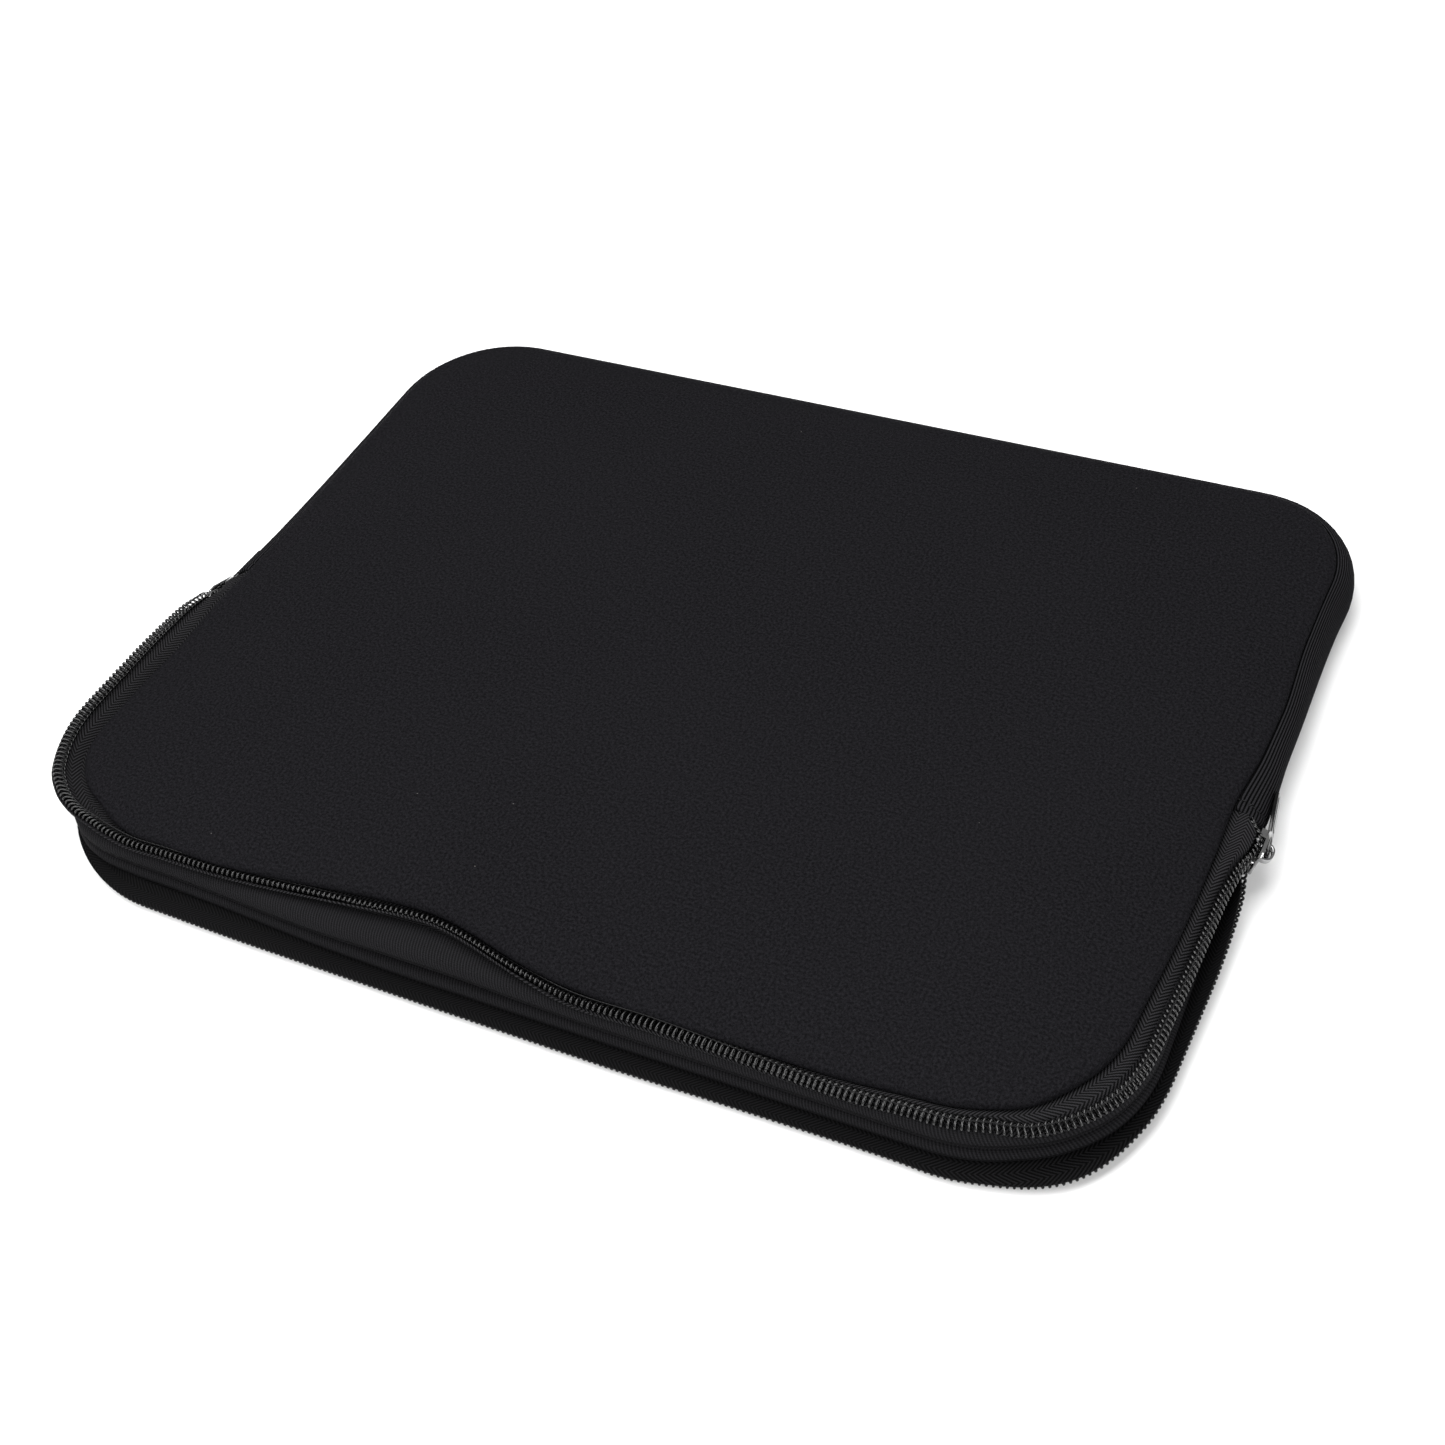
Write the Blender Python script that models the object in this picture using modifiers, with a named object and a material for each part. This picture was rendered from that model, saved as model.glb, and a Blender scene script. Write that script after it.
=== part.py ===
"""Laptop sleeve: two padded panels joined by a ribbed band at the back and by an open coil zipper at the front.

The frame has +X along the long side, -Y towards the mouth and +Z up, with the origin under the middle of the
sleeve on the surface that it lies on. A section of the rim is written as (u, z): u is the distance outside the
panels' seam line and z is the height. The top panel is split where it bends when the mouth is lifted open.
"""

import bmesh
import bpy
from math import cos, exp, pi, radians, sin
from mathutils import Matrix, Vector

MM = 0.001

# Panels: the seam line is a rectangle with rounded corners
PANEL_WIDTH = 340 * MM
PANEL_DEPTH = 255 * MM
FRONT_RADIUS = 42 * MM
REAR_RADIUS = 34 * MM
PANEL_SHIFT = 1.4 * MM  # puts the middle of the whole sleeve, with its zipper, over the origin
KNIT = 0.8 * MM
FOAM = 2.5 * MM
LINING = 0.6 * MM
GAP = 0.3 * MM

# Top panel: height of its outer face at the seam line, and how far its middle is crowned above that
FRONT_SEAM_Z = 22.0 * MM
REAR_SEAM_Z = 20.0 * MM
CROWN = 3.6 * MM
CROWN_POWER = 4

# The open front edge of the top panel hangs back in a bow, and lifts a little, left of the middle
BOW = 9.0 * MM
BOW_X = -32 * MM
BOW_LEFT_REACH = 68 * MM
BOW_RIGHT_REACH = 33 * MM
LIFT = 2.5 * MM
LIFT_X = -25 * MM
LIFT_REACH = 36 * MM

# Zipper: in the chain's own frame p runs up the tape and q runs outwards, through the coil
CHAIN_U = 6.4 * MM
CHAIN_Z = 12.0 * MM
CHAIN_LEAN = radians(20)
TAPE = 0.6 * MM
TAPE_Q = -0.9 * MM
COIL = 1.6 * MM
COIL_IN_P = 0.7 * MM
COIL_OUT_P = 3.3 * MM
SLOT_P = 6.6 * MM
ZIP_END_Y = {-1: -8.2 * MM, 1: -1.7 * MM}
CHAIN_STRAIGHT_TO_Y = -76 * MM
CHAIN_OPEN_FROM_Y = -114 * MM

# Sliders, in the chain's frame, where a runs backwards along the sleeve
SLIDER_Y = {-1: -15.5 * MM, 1: -9.0 * MM}
SLIDER_LENGTH = 13 * MM
SHOULDER_P = 5.6 * MM
TAIL_P = 4.4 * MM
PLATE_INNER_Q = -2.9 * MM
PLATE_OUTER_Q = 3.1 * MM
CHANNEL_Q = (-1.6 * MM, 1.8 * MM)
CHANNEL_P = (0.45 * MM, 3.7 * MM)
SLOT_Q = (-1.6 * MM, -0.2 * MM)
DIAMOND_BACK_A = -1.0 * MM
BAIL_WIRE = 0.7 * MM
BAIL_HALF_SPAN = 3.6 * MM
BAIL_RISE = 3.4 * MM
PULLER_Q = 4.3 * MM
PULLER_LENGTH = 22 * MM
PULLER_THICKNESS = 1.2 * MM
PULLER_HALF_WIDTH = 3.1 * MM
PULLER_WINDOW = (0.6 * MM, 5.4 * MM)
PULLER_WINDOW_HALF = 1.7 * MM

# Mouth: the top panel bends up about this line, just in front of the parked sliders
BEND_Y = -25.5 * MM

# Bound seams inside the rim, and the ribbed band
BINDING = 3.2 * MM
BINDING_SIDE_U = -2.0 * MM
BINDING_FRONT_U = 0.6 * MM
BAND = 1.6 * MM

HALF_WIDTH = PANEL_WIDTH / 2
FRONT_Y = PANEL_SHIFT - PANEL_DEPTH / 2
REAR_Y = PANEL_SHIFT + PANEL_DEPTH / 2
STACK = KNIT + FOAM + LINING + 2 * GAP

BLACK = (0.012, 0.012, 0.013, 1)
NICKEL = (0.62, 0.61, 0.59, 1)


def clear_scene():
    for obj in list(bpy.data.objects):
        bpy.data.objects.remove(obj, do_unlink=True)


def make_collection(name):
    collection = bpy.data.collections.new(name)
    bpy.context.scene.collection.children.link(collection)
    return collection


def make_material(name, color, roughness, metallic=0.0):
    material = bpy.data.materials.new(name)
    material.use_nodes = True
    shader = material.node_tree.nodes["Principled BSDF"]
    shader.inputs["Base Color"].default_value = color
    shader.inputs["Roughness"].default_value = roughness
    shader.inputs["Metallic"].default_value = metallic
    return material


def add_object(name, data, material):
    obj = bpy.data.objects.new(name, data)
    data.materials.append(material)
    SLEEVE.objects.link(obj)
    return obj


def smoothstep(value):
    value = min(max(value, 0.0), 1.0)
    return value * value * (3 - 2 * value)


def front_share(y):
    """0 at the back of the panels and 1 at the front."""
    return min(max((REAR_Y - y) / PANEL_DEPTH, 0), 1)


def bow(x, y):
    """How far the top panel hangs back at a point."""
    reach = BOW_LEFT_REACH if x < BOW_X else BOW_RIGHT_REACH
    return BOW * exp(-(((x - BOW_X) / reach) ** 2)) * front_share(y) ** 4


def seam_height(x, y):
    """Height of the top panel's outer face at the seam line."""
    share = front_share(y)
    lift = LIFT * exp(-(((x - LIFT_X) / LIFT_REACH) ** 2)) * share**6
    return REAR_SEAM_Z + (FRONT_SEAM_Z - REAR_SEAM_Z) * share + lift


def straight(start, end, normal, pieces):
    """Stations (x, y, outward normal) along a straight side, without its last one."""
    a, b = Vector(start), Vector(end)
    return [(*a.lerp(b, i / pieces), *normal) for i in range(pieces)]


def turn(center, radius, first_deg, pieces=8):
    """Stations round a quarter circle, anticlockwise from first_deg, without the last one."""
    angles = [radians(first_deg + 90 * i / pieces) for i in range(pieces)]
    return [(center[0] + radius * cos(a), center[1] + radius * sin(a), cos(a), sin(a)) for a in angles]


def both(y):
    """The same y at the left and right ends of a path."""
    return {-1: y, 1: y}


def front_path(end_y):
    """Seam-line stations from the left end, round the front, to the right end; end_y holds one y a side."""
    corner_y = FRONT_Y + FRONT_RADIUS
    corner_x = HALF_WIDTH - FRONT_RADIUS
    path = straight((-HALF_WIDTH, end_y[-1]), (-HALF_WIDTH, corner_y), (-1, 0), 5)
    path += turn((-corner_x, corner_y), FRONT_RADIUS, 180)
    path += straight((-corner_x, FRONT_Y), (corner_x, FRONT_Y), (0, -1), 20)
    path += turn((corner_x, corner_y), FRONT_RADIUS, 270)
    path += straight((HALF_WIDTH, corner_y), (HALF_WIDTH, end_y[1]), (1, 0), 5)
    return path + [(HALF_WIDTH, end_y[1], 1, 0)]


def rear_path(end_y):
    """Seam-line stations from the right end, round the back, to the left end; end_y holds one y a side."""
    corner_y = REAR_Y - REAR_RADIUS
    corner_x = HALF_WIDTH - REAR_RADIUS
    path = straight((HALF_WIDTH, end_y[1]), (HALF_WIDTH, corner_y), (1, 0), 4)
    path += turn((corner_x, corner_y), REAR_RADIUS, 0)
    path += straight((corner_x, REAR_Y), (-corner_x, REAR_Y), (0, 1), 8)
    path += turn((-corner_x, corner_y), REAR_RADIUS, 90)
    path += straight((-HALF_WIDTH, corner_y), (-HALF_WIDTH, end_y[-1]), (-1, 0), 4)
    return path + [(-HALF_WIDTH, end_y[-1], -1, 0)]


def side_path(side, front_y, back_y):
    """Stations along one side only, in the anticlockwise order of the whole outline."""
    ends = (front_y, back_y) if side > 0 else (back_y, front_y)
    return [(side * HALF_WIDTH, y, side, 0) for y in ends]


def outline():
    """The seam line as (x, y) points, anticlockwise."""
    return [(x, y) for x, y, _, _ in front_path(both(0))[:-1] + rear_path(both(0))[:-1]]


def mesh_from_grid(name, columns, rows, place):
    """A grid surface whose point (i, j) is put at place(i, j)."""
    mesh = bpy.data.meshes.new(name)
    bm = bmesh.new()
    bmesh.ops.create_grid(bm, x_segments=columns, y_segments=rows, size=1)
    for vert in bm.verts:
        i = round((vert.co.x + 1) / 2 * columns)
        j = round((vert.co.y + 1) / 2 * rows)
        vert.co = place(i, j)
    bmesh.ops.remove_doubles(bm, verts=bm.verts, dist=1e-6)
    bm.to_mesh(mesh)
    bm.free()
    return mesh


def thicken(obj, thickness):
    solidify = obj.modifiers.new("Solidify", "SOLIDIFY")
    solidify.thickness = thickness
    solidify.offset = 0
    solidify.use_even_offset = True
    obj.data.shade_smooth()
    obj.data.set_sharp_from_angle(angle=radians(40))
    return obj


def add_strip(name, path, section, thickness, material):
    """A strip of cloth along path; section(x, y) gives its (u, z) points at a station."""
    sections = [section(x, y) for x, y, _, _ in path]

    def place(i, j):
        x, y, nx, ny = path[i]
        u, z = sections[i][j]
        return (x + nx * u, y + ny * u, z)

    mesh = mesh_from_grid(name, len(path) - 1, len(sections[0]) - 1, place)
    return thicken(add_object(name, mesh, material), thickness)


def on_outline(s, t):
    """The seam-line point that the point (s, t) on the edge of a square maps to."""
    radius = FRONT_RADIUS if t < 0 else REAR_RADIUS
    half_depth = PANEL_DEPTH / 2
    x, y = abs(s) * HALF_WIDTH, abs(t) * half_depth
    over_x, over_y = x - (HALF_WIDTH - radius), y - (half_depth - radius)
    if over_x > 0 and over_y > 0:
        along = over_y if over_x >= over_y else 2 * radius - over_x
        angle = along / (2 * radius) * pi / 2
        x = HALF_WIDTH - radius + radius * cos(angle)
        y = half_depth - radius + radius * sin(angle)
    return Vector((x if s > 0 else -x, (y if t > 0 else -y) + PANEL_SHIFT, 0))


def add_crowned_layer(name, depth, thickness, material, keep_front):
    """A layer of the top panel, on one side of the bend; its middle surface is depth below the outer face."""
    columns, rows = 20, 18

    def place(i, j):
        s, t = 2 * i / columns - 1, 2 * j / rows - 1
        ring = max(abs(s), abs(t))
        center = Vector((0, PANEL_SHIFT, 0))
        point = center.lerp(on_outline(s / ring, t / ring), ring) if ring > 0 else center
        point.z = seam_height(point.x, point.y) + CROWN * (1 - ring**CROWN_POWER) - depth
        point.y += bow(point.x, point.y)
        return point

    mesh = mesh_from_grid(name, columns, rows, place)
    bm = bmesh.new()
    bm.from_mesh(mesh)
    facing = 1 if keep_front else -1
    cut = Vector((0, BEND_Y - facing * GAP / 2, 0))
    parts = bm.verts[:] + bm.edges[:] + bm.faces[:]
    bmesh.ops.bisect_plane(bm, geom=parts, plane_co=cut, plane_no=(0, facing, 0), clear_outer=True)
    bm.to_mesh(mesh)
    bm.free()
    return thicken(add_object(name, mesh, material), thickness)


def add_flat_outline(name, splines, low, high, material):
    """A closed outline, with any holes, filled and extruded from low to high along its own Z."""
    curve = bpy.data.curves.new(name, "CURVE")
    curve.dimensions = "2D"
    curve.fill_mode = "BOTH"
    curve.extrude = (high - low) / 2
    for points in splines:
        spline = curve.splines.new("POLY")
        spline.points.add(len(points) - 1)
        for point, (x, y) in zip(spline.points, points):
            point.co = (x, y, 0, 1)
        spline.use_cyclic_u = True
    obj = add_object(name, curve, material)
    obj.location.z = (low + high) / 2
    return obj


def to_mesh(obj, material):
    """A mesh object in place of a curve object, with its loose caps welded on."""
    bpy.context.view_layer.update()
    mesh = bpy.data.meshes.new_from_object(obj.evaluated_get(bpy.context.evaluated_depsgraph_get()))
    bm = bmesh.new()
    bm.from_mesh(mesh)
    bmesh.ops.remove_doubles(bm, verts=bm.verts, dist=1e-6)
    bmesh.ops.recalc_face_normals(bm, faces=bm.faces)
    bm.to_mesh(mesh)
    bm.free()
    mesh.materials.clear()
    place, name = obj.matrix_world.copy(), obj.name
    bpy.data.objects.remove(obj, do_unlink=True)
    made = add_object(name, mesh, material)
    made.matrix_world = place
    return made


def chain_point(p, q):
    """(u, z) of a point given in the chain's own frame."""
    u = CHAIN_U + p * sin(CHAIN_LEAN) + q * cos(CHAIN_LEAN)
    z = CHAIN_Z + p * cos(CHAIN_LEAN) - q * sin(CHAIN_LEAN)
    return u, z


def between(closed, opened, y):
    """A section point between its place in the closed chain and its place in the open mouth."""
    share = smoothstep((CHAIN_STRAIGHT_TO_Y - y) / (CHAIN_STRAIGHT_TO_Y - CHAIN_OPEN_FROM_Y))
    return tuple(a + (b - a) * share for a, b in zip(closed, opened))


def upper_tape_section(x, y):
    closed = [(0.55 * MM, 19.4 * MM), (4.0 * MM, 19.8 * MM)]
    closed += [chain_point(p, TAPE_Q) for p in (SLOT_P, COIL_OUT_P, COIL_IN_P)]
    points = ((0.55, -2.2), (3.0, -1.8), (5.3, -2.3), (6.9, -3.0), (9.6, -3.9))
    top = seam_height(x, y)
    opened = [(u * MM - bow(x, y), top + z * MM) for u, z in points]
    return [between(a, b, y) for a, b in zip(closed, opened)]


def lower_tape_section(x, y):
    closed = [(0.55 * MM, 3.6 * MM), (2.0 * MM, 4.8 * MM)]
    closed += [chain_point(-p, TAPE_Q) for p in (SLOT_P, COIL_OUT_P, COIL_IN_P)]
    opened = [(u * MM, z * MM) for u, z in ((0.55, 3.6), (3.0, 3.7), (5.3, 3.5), (7.4, 3.2), (10.2, 2.9))]
    return [between(a, b, y) for a, b in zip(closed, opened)]


def coil_section(tape, outward):
    """The coil's middle surface over a tape's free edge; outward is 1 for the upper tape and -1 for the lower."""
    a, b = Vector(tape[-2]), Vector(tape[-1])
    along = (b - a).normalized()
    lift = Vector((-along.y, along.x)) * outward * ((TAPE + COIL) / 2 + GAP)
    return [tuple(a + lift), tuple(b + lift)]


def upper_coil_section(x, y):
    return coil_section(upper_tape_section(x, y), 1)


def lower_coil_section(x, y):
    return coil_section(lower_tape_section(x, y), -1)


def band_section(x, y):
    points = ((0.95, 18.6), (4.2, 16.8), (6.1, 13.6), (6.6, 10.6), (5.8, 7.2), (3.8, 4.6), (0.95, 3.0))
    return [(u * MM, z * MM) for u, z in points]


def lower_binding_section(x, y):
    return [between((BINDING_SIDE_U, z), (BINDING_FRONT_U, z), y) for z in (5.0 * MM, 8.3 * MM)]


def upper_binding_section(x, y):
    top = seam_height(x, y) - STACK - GAP
    back = bow(x, y)
    return [between((BINDING_SIDE_U, z), (BINDING_FRONT_U - back, z), y) for z in (top - 3.0 * MM, top)]


def add_bottom_panel():
    seam = outline()
    low = 0.0
    layers = (("bottom_outer_knit", KNIT, KNIT_BLACK), ("bottom_foam_core", FOAM, FOAM_BLACK))
    layers += (("bottom_lining", LINING, LINING_BLACK),)
    for name, thickness, material in layers:
        add_flat_outline(name, [seam], low, low + thickness, material)
        low += thickness + GAP


def add_top_panel(prefix, keep_front):
    depth = 0.0
    layers = (("outer_knit", KNIT, KNIT_BLACK), ("foam_core", FOAM, FOAM_BLACK), ("lining", LINING, LINING_BLACK))
    for name, thickness, material in layers:
        add_crowned_layer(f"{prefix}_{name}", depth + thickness / 2, thickness, material, keep_front)
        depth += thickness + GAP


def add_zipper():
    whole = front_path(ZIP_END_Y)
    moving = front_path(both(BEND_Y - GAP / 2))
    add_strip("lower_zipper_tape", whole, lower_tape_section, TAPE, TAPE_BLACK)
    add_strip("lower_zipper_coil", whole, lower_coil_section, COIL, COIL_BLACK)
    add_strip("upper_zipper_tape", moving, upper_tape_section, TAPE, TAPE_BLACK)
    add_strip("upper_zipper_coil", moving, upper_coil_section, COIL, COIL_BLACK)
    for side, word in ((-1, "left"), (1, "right")):
        end = side_path(side, BEND_Y + GAP / 2, ZIP_END_Y[side])
        add_strip(f"upper_tape_end_{word}", end, upper_tape_section, TAPE, TAPE_BLACK)
        add_strip(f"upper_coil_end_{word}", end, upper_coil_section, COIL, COIL_BLACK)


def add_rim():
    band_ends = {side: y + 0.4 * MM for side, y in ZIP_END_Y.items()}
    add_strip("gusset_band", rear_path(band_ends), band_section, BAND, BAND_BLACK)
    around = front_path(both(0))[:-1] + rear_path(both(0))
    add_strip("bottom_seam_binding", around, lower_binding_section, BINDING, BIND_BLACK)
    behind, ahead = rear_path(both(BEND_Y + GAP / 2)), front_path(both(BEND_Y - GAP / 2))
    add_strip("top_rear_seam_binding", behind, upper_binding_section, BINDING, BIND_BLACK)
    add_strip("top_flap_seam_binding", ahead, upper_binding_section, BINDING, BIND_BLACK)


def chain_frame(side, q):
    """The chain's frame at the parked slider: local X runs along the zipper, Y up the tape and Z outwards."""
    u, z = chain_point(0, q)
    lean = side * CHAIN_LEAN
    outwards = Vector((side * cos(lean), 0, -sin(CHAIN_LEAN)))
    columns = Vector((0, side, 0)), Vector((sin(lean), 0, cos(lean))), outwards
    place = Matrix([(*row,) for row in zip(*columns)]).to_4x4()
    return Matrix.Translation((side * (HALF_WIDTH + u), SLIDER_Y[side], z)) @ place


def add_axis(name, side, q):
    empty = bpy.data.objects.new(name, None)
    empty.empty_display_size = 0.01
    empty.matrix_world = chain_frame(side, q)
    SLEEVE.objects.link(empty)
    return empty


def hang(obj, parent):
    obj.parent = parent
    obj.matrix_parent_inverse = Matrix.Identity(4)


def slider_outline(side):
    half = SLIDER_LENGTH / 2
    upper = [(half, TAIL_P - 0.8 * MM), (half - 0.8 * MM, TAIL_P), (1.0 * MM, TAIL_P + 0.2 * MM)]
    upper += [(-3.0 * MM, SHOULDER_P), (-5.2 * MM, SHOULDER_P), (-half, SHOULDER_P - 1.6 * MM)]
    lower = [(a, -p) for a, p in reversed(upper)]
    return [(side * a, p) for a, p in upper + [(-half + 1.0 * MM, 0)] + lower]


def cut_box(target, low, high):
    """Cuts a box, given in the target's own axes, out of it."""
    mesh = bpy.data.meshes.new(f"{target.name}_cut")
    bm = bmesh.new()
    bmesh.ops.create_cube(bm, size=1)
    middle = (Vector(low) + Vector(high)) / 2
    size = Vector(high) - Vector(low)
    bmesh.ops.transform(bm, matrix=Matrix.Translation(middle) @ Matrix.Diagonal((*size, 1)), verts=bm.verts)
    bm.to_mesh(mesh)
    bm.free()
    cutter = bpy.data.objects.new(mesh.name, mesh)
    CUTTERS.objects.link(cutter)
    cutter.matrix_world = target.matrix_world
    cutter.hide_render = True
    cutter.display_type = "WIRE"
    boolean = target.modifiers.new("Cut", "BOOLEAN")
    boolean.operation = "DIFFERENCE"
    boolean.object = cutter
    boolean.solver = "EXACT"


def add_slider(side, word):
    axis = add_axis(f"{word}_slider_axis", side, 0)
    blank = add_flat_outline(
        f"{word}_slider_body", [slider_outline(side)], PLATE_INNER_Q, PLATE_OUTER_Q, NICKEL_PLATE
    )
    blank.matrix_world = axis.matrix_world @ blank.matrix_basis
    body = to_mesh(blank, NICKEL_PLATE)
    shift = (PLATE_INNER_Q + PLATE_OUTER_Q) / 2
    past = SLIDER_LENGTH
    for sign in (-1, 1):
        channel = sorted((sign * CHANNEL_P[0], sign * CHANNEL_P[1]))
        slot = sorted((sign * (CHANNEL_P[1] - 0.1 * MM), sign * 2 * SHOULDER_P))
        cut_box(body, (-past, channel[0], CHANNEL_Q[0] - shift), (past, channel[1], CHANNEL_Q[1] - shift))
        cut_box(body, (-past, slot[0], SLOT_Q[0] - shift), (past, slot[1], SLOT_Q[1] - shift))
    behind = sorted((side * DIAMOND_BACK_A, side * past))
    merge = CHANNEL_P[0] + 0.1 * MM
    cut_box(body, (behind[0], -merge, CHANNEL_Q[0] - shift), (behind[1], merge, CHANNEL_Q[1] - shift))
    add_bail(word, axis)
    add_puller(side, word)


def add_bail(word, axis):
    """The wire arch on the slider's outer plate that the puller hangs from."""
    curve = bpy.data.curves.new(f"{word}_slider_bail", "CURVE")
    curve.dimensions = "3D"
    curve.bevel_depth = BAIL_WIRE
    curve.bevel_resolution = 2
    curve.use_fill_caps = True
    foot = PLATE_OUTER_Q + GAP
    steps = 12
    spline = curve.splines.new("POLY")
    spline.points.add(steps)
    for i, point in enumerate(spline.points):
        angle = pi * i / steps
        point.co = (BAIL_HALF_SPAN * cos(angle), 0, foot + BAIL_RISE * sin(angle), 1)
    bail = add_object(curve.name, curve, NICKEL_PLATE)
    bail.matrix_world = axis.matrix_world
    hang(to_mesh(bail, NICKEL_PLATE), axis)
    made = bpy.data.objects[f"{word}_slider_bail"]
    made.matrix_basis = Matrix.Identity(4)


def rounded_box(low, high, radius, pieces=4):
    """Corner-rounded rectangle from low to high, anticlockwise."""
    points = []
    centers = ((high[0], high[1], 0), (low[0], high[1], 90), (low[0], low[1], 180), (high[0], low[1], 270))
    for x, y, first in centers:
        cx = x - radius if x == high[0] else x + radius
        cy = y - radius if y == high[1] else y + radius
        for i in range(pieces + 1):
            angle = radians(first + 90 * i / pieces)
            points.append((cx + radius * cos(angle), cy + radius * sin(angle)))
    return points


def add_puller(side, word):
    """The flat pull tab; its end bar lies under the bail, on the hinge axis."""
    axis = add_axis(f"{word}_puller_axis", side, PULLER_Q)
    half_bar = PULLER_THICKNESS / 2
    tab = rounded_box((-half_bar, -PULLER_HALF_WIDTH), (PULLER_LENGTH, PULLER_HALF_WIDTH), 0.59 * MM)
    window = rounded_box(
        (PULLER_WINDOW[0], -PULLER_WINDOW_HALF), (PULLER_WINDOW[1], PULLER_WINDOW_HALF), 0.5 * MM
    )
    splines = [[(side * a, p) for a, p in points] for points in (tab, window)]
    puller = add_flat_outline(f"{word}_puller", splines, -half_bar, half_bar, NICKEL_PLATE)
    hang(puller, axis)


clear_scene()
SLEEVE = make_collection("laptop_sleeve")
CUTTERS = make_collection("cutters")
KNIT_BLACK = make_material("outer_knit", BLACK, 0.85)
FOAM_BLACK = make_material("foam", BLACK, 0.9)
LINING_BLACK = make_material("lining", BLACK, 0.9)
BAND_BLACK = make_material("ribbed_band", BLACK, 0.85)
BIND_BLACK = make_material("binding", BLACK, 0.85)
TAPE_BLACK = make_material("zipper_tape", BLACK, 0.75)
COIL_BLACK = make_material("zipper_coil", BLACK, 0.3)
NICKEL_PLATE = make_material("nickel", NICKEL, 0.25, 1.0)

add_bottom_panel()
add_top_panel("top_rear", False)
add_top_panel("top_flap", True)
add_zipper()
add_rim()
for SIDE, WORD in ((-1, "left"), (1, "right")):
    add_slider(SIDE, WORD)
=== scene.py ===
"""Laptop sleeve, the looks: every soft piece is rebuilt here along the CAD's seam line.

A section of the rim is written as (u, z) in millimetres: u is the distance outside the panels' seam line,
and z the height. s is the distance along the seam line, from the left end of the zipper round the front and
on round the back. mesh_of and metal turn millimetres into metres. The camera and lights are in metres.
"""

from math import cos, pi, radians, sin

import bmesh
import bpy
import numpy as np
from mathutils import Matrix, Vector

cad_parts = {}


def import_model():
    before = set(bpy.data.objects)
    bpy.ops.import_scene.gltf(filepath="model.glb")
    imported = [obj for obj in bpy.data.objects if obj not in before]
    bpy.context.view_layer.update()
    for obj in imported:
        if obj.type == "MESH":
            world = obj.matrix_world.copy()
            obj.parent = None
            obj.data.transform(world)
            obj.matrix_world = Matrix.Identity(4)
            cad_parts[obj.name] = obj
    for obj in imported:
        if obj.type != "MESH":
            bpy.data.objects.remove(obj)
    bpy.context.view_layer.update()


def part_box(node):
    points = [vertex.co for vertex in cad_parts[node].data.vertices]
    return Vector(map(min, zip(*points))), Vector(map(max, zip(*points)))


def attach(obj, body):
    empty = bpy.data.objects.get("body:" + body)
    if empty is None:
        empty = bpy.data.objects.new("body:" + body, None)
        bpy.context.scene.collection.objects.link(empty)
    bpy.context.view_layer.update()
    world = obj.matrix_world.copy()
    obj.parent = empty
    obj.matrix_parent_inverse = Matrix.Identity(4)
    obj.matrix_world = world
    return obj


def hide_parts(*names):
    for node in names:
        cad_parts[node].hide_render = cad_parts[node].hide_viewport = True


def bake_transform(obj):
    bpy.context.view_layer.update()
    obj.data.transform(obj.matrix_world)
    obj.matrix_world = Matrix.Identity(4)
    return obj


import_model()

MM = 0.001
PANEL_LOW, PANEL_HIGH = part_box("bottom_outer_knit")
HALF_WIDTH = PANEL_HIGH.x / MM
FRONT_Y = PANEL_LOW.y / MM
REAR_Y = PANEL_HIGH.y / MM
WORDS = ((-1, "left"), (1, "right"))
ZIP_END_Y = {side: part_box(f"upper_tape_end_{word}")[1].y / MM for side, word in WORDS}
SLIDER_Y = {side: sum(c.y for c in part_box(f"{word}_slider_body")) / 2 / MM for side, word in WORDS}

# The outline's corners, and the chain where it is closed: the same values as the CAD's, in millimetres
FRONT_RADIUS = 42
REAR_RADIUS = 34
CHAIN_U = 6.4
CHAIN_Z = 12.0
CHAIN_LEAN = radians(20)

# The top panel's open edge hangs back in a bow and lifts a little, left of the middle
BOW, BOW_X, BOW_LEFT_REACH, BOW_RIGHT_REACH = 9.0, -32, 68, 33
LIFT, LIFT_X, LIFT_REACH = 2.5, -25, 36
BOW_FADE, LIFT_FADE = 4, 6

# Panels
KNIT = 0.8
CROWN = 4.0
CROWN_POWER = 3.2
FINE_GRID, COARSE_GRID = (120, 92), (60, 46)
ROLL = ((-5.0, 0.5), (-3.6, 0.38), (-2.3, 0.16), (-1.2, -0.22))
ROLL += ((-0.4, -0.85), (0, -1.7), (-0.2, -2.6), (-0.9, -3.2))
BOTTOM_ROLL = ((-4.0, 0.0), (-2.6, 0.03), (-1.4, 0.25), (-0.5, 0.8), (0, 1.6), (-0.3, 2.4), (-1.2, 2.9))

# Zipper
TAPE = 0.55
COIL_HALF_WIDTH = 1.75
COIL_HALF_THICKNESS = 0.85
COIL_WIRE = 0.38
COIL_PITCH = 1.76
LEVEL = {True: "upper", False: "lower"}
TURN_SAMPLES = 12
WIRE_SIDES = 6
THREAD_RADIUS, THREAD_SAMPLES = 0.16, 5
TAPE_PAST_END = 3
PULLER_Q = 4.4
PULLER_ROLL, PULLER_SWING = radians(-23), radians(9.5)

# Ribbed band and bindings
BAND_RIBS = 22
BAND_RIB_DEPTH = 0.34
BAND = 1.2

# Puff behind the seams, and the bottom panel's edge
PUFF, PUFF_REACH = 1.3, 9.0
BOTTOM_EDGE_U = 0.6

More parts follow.
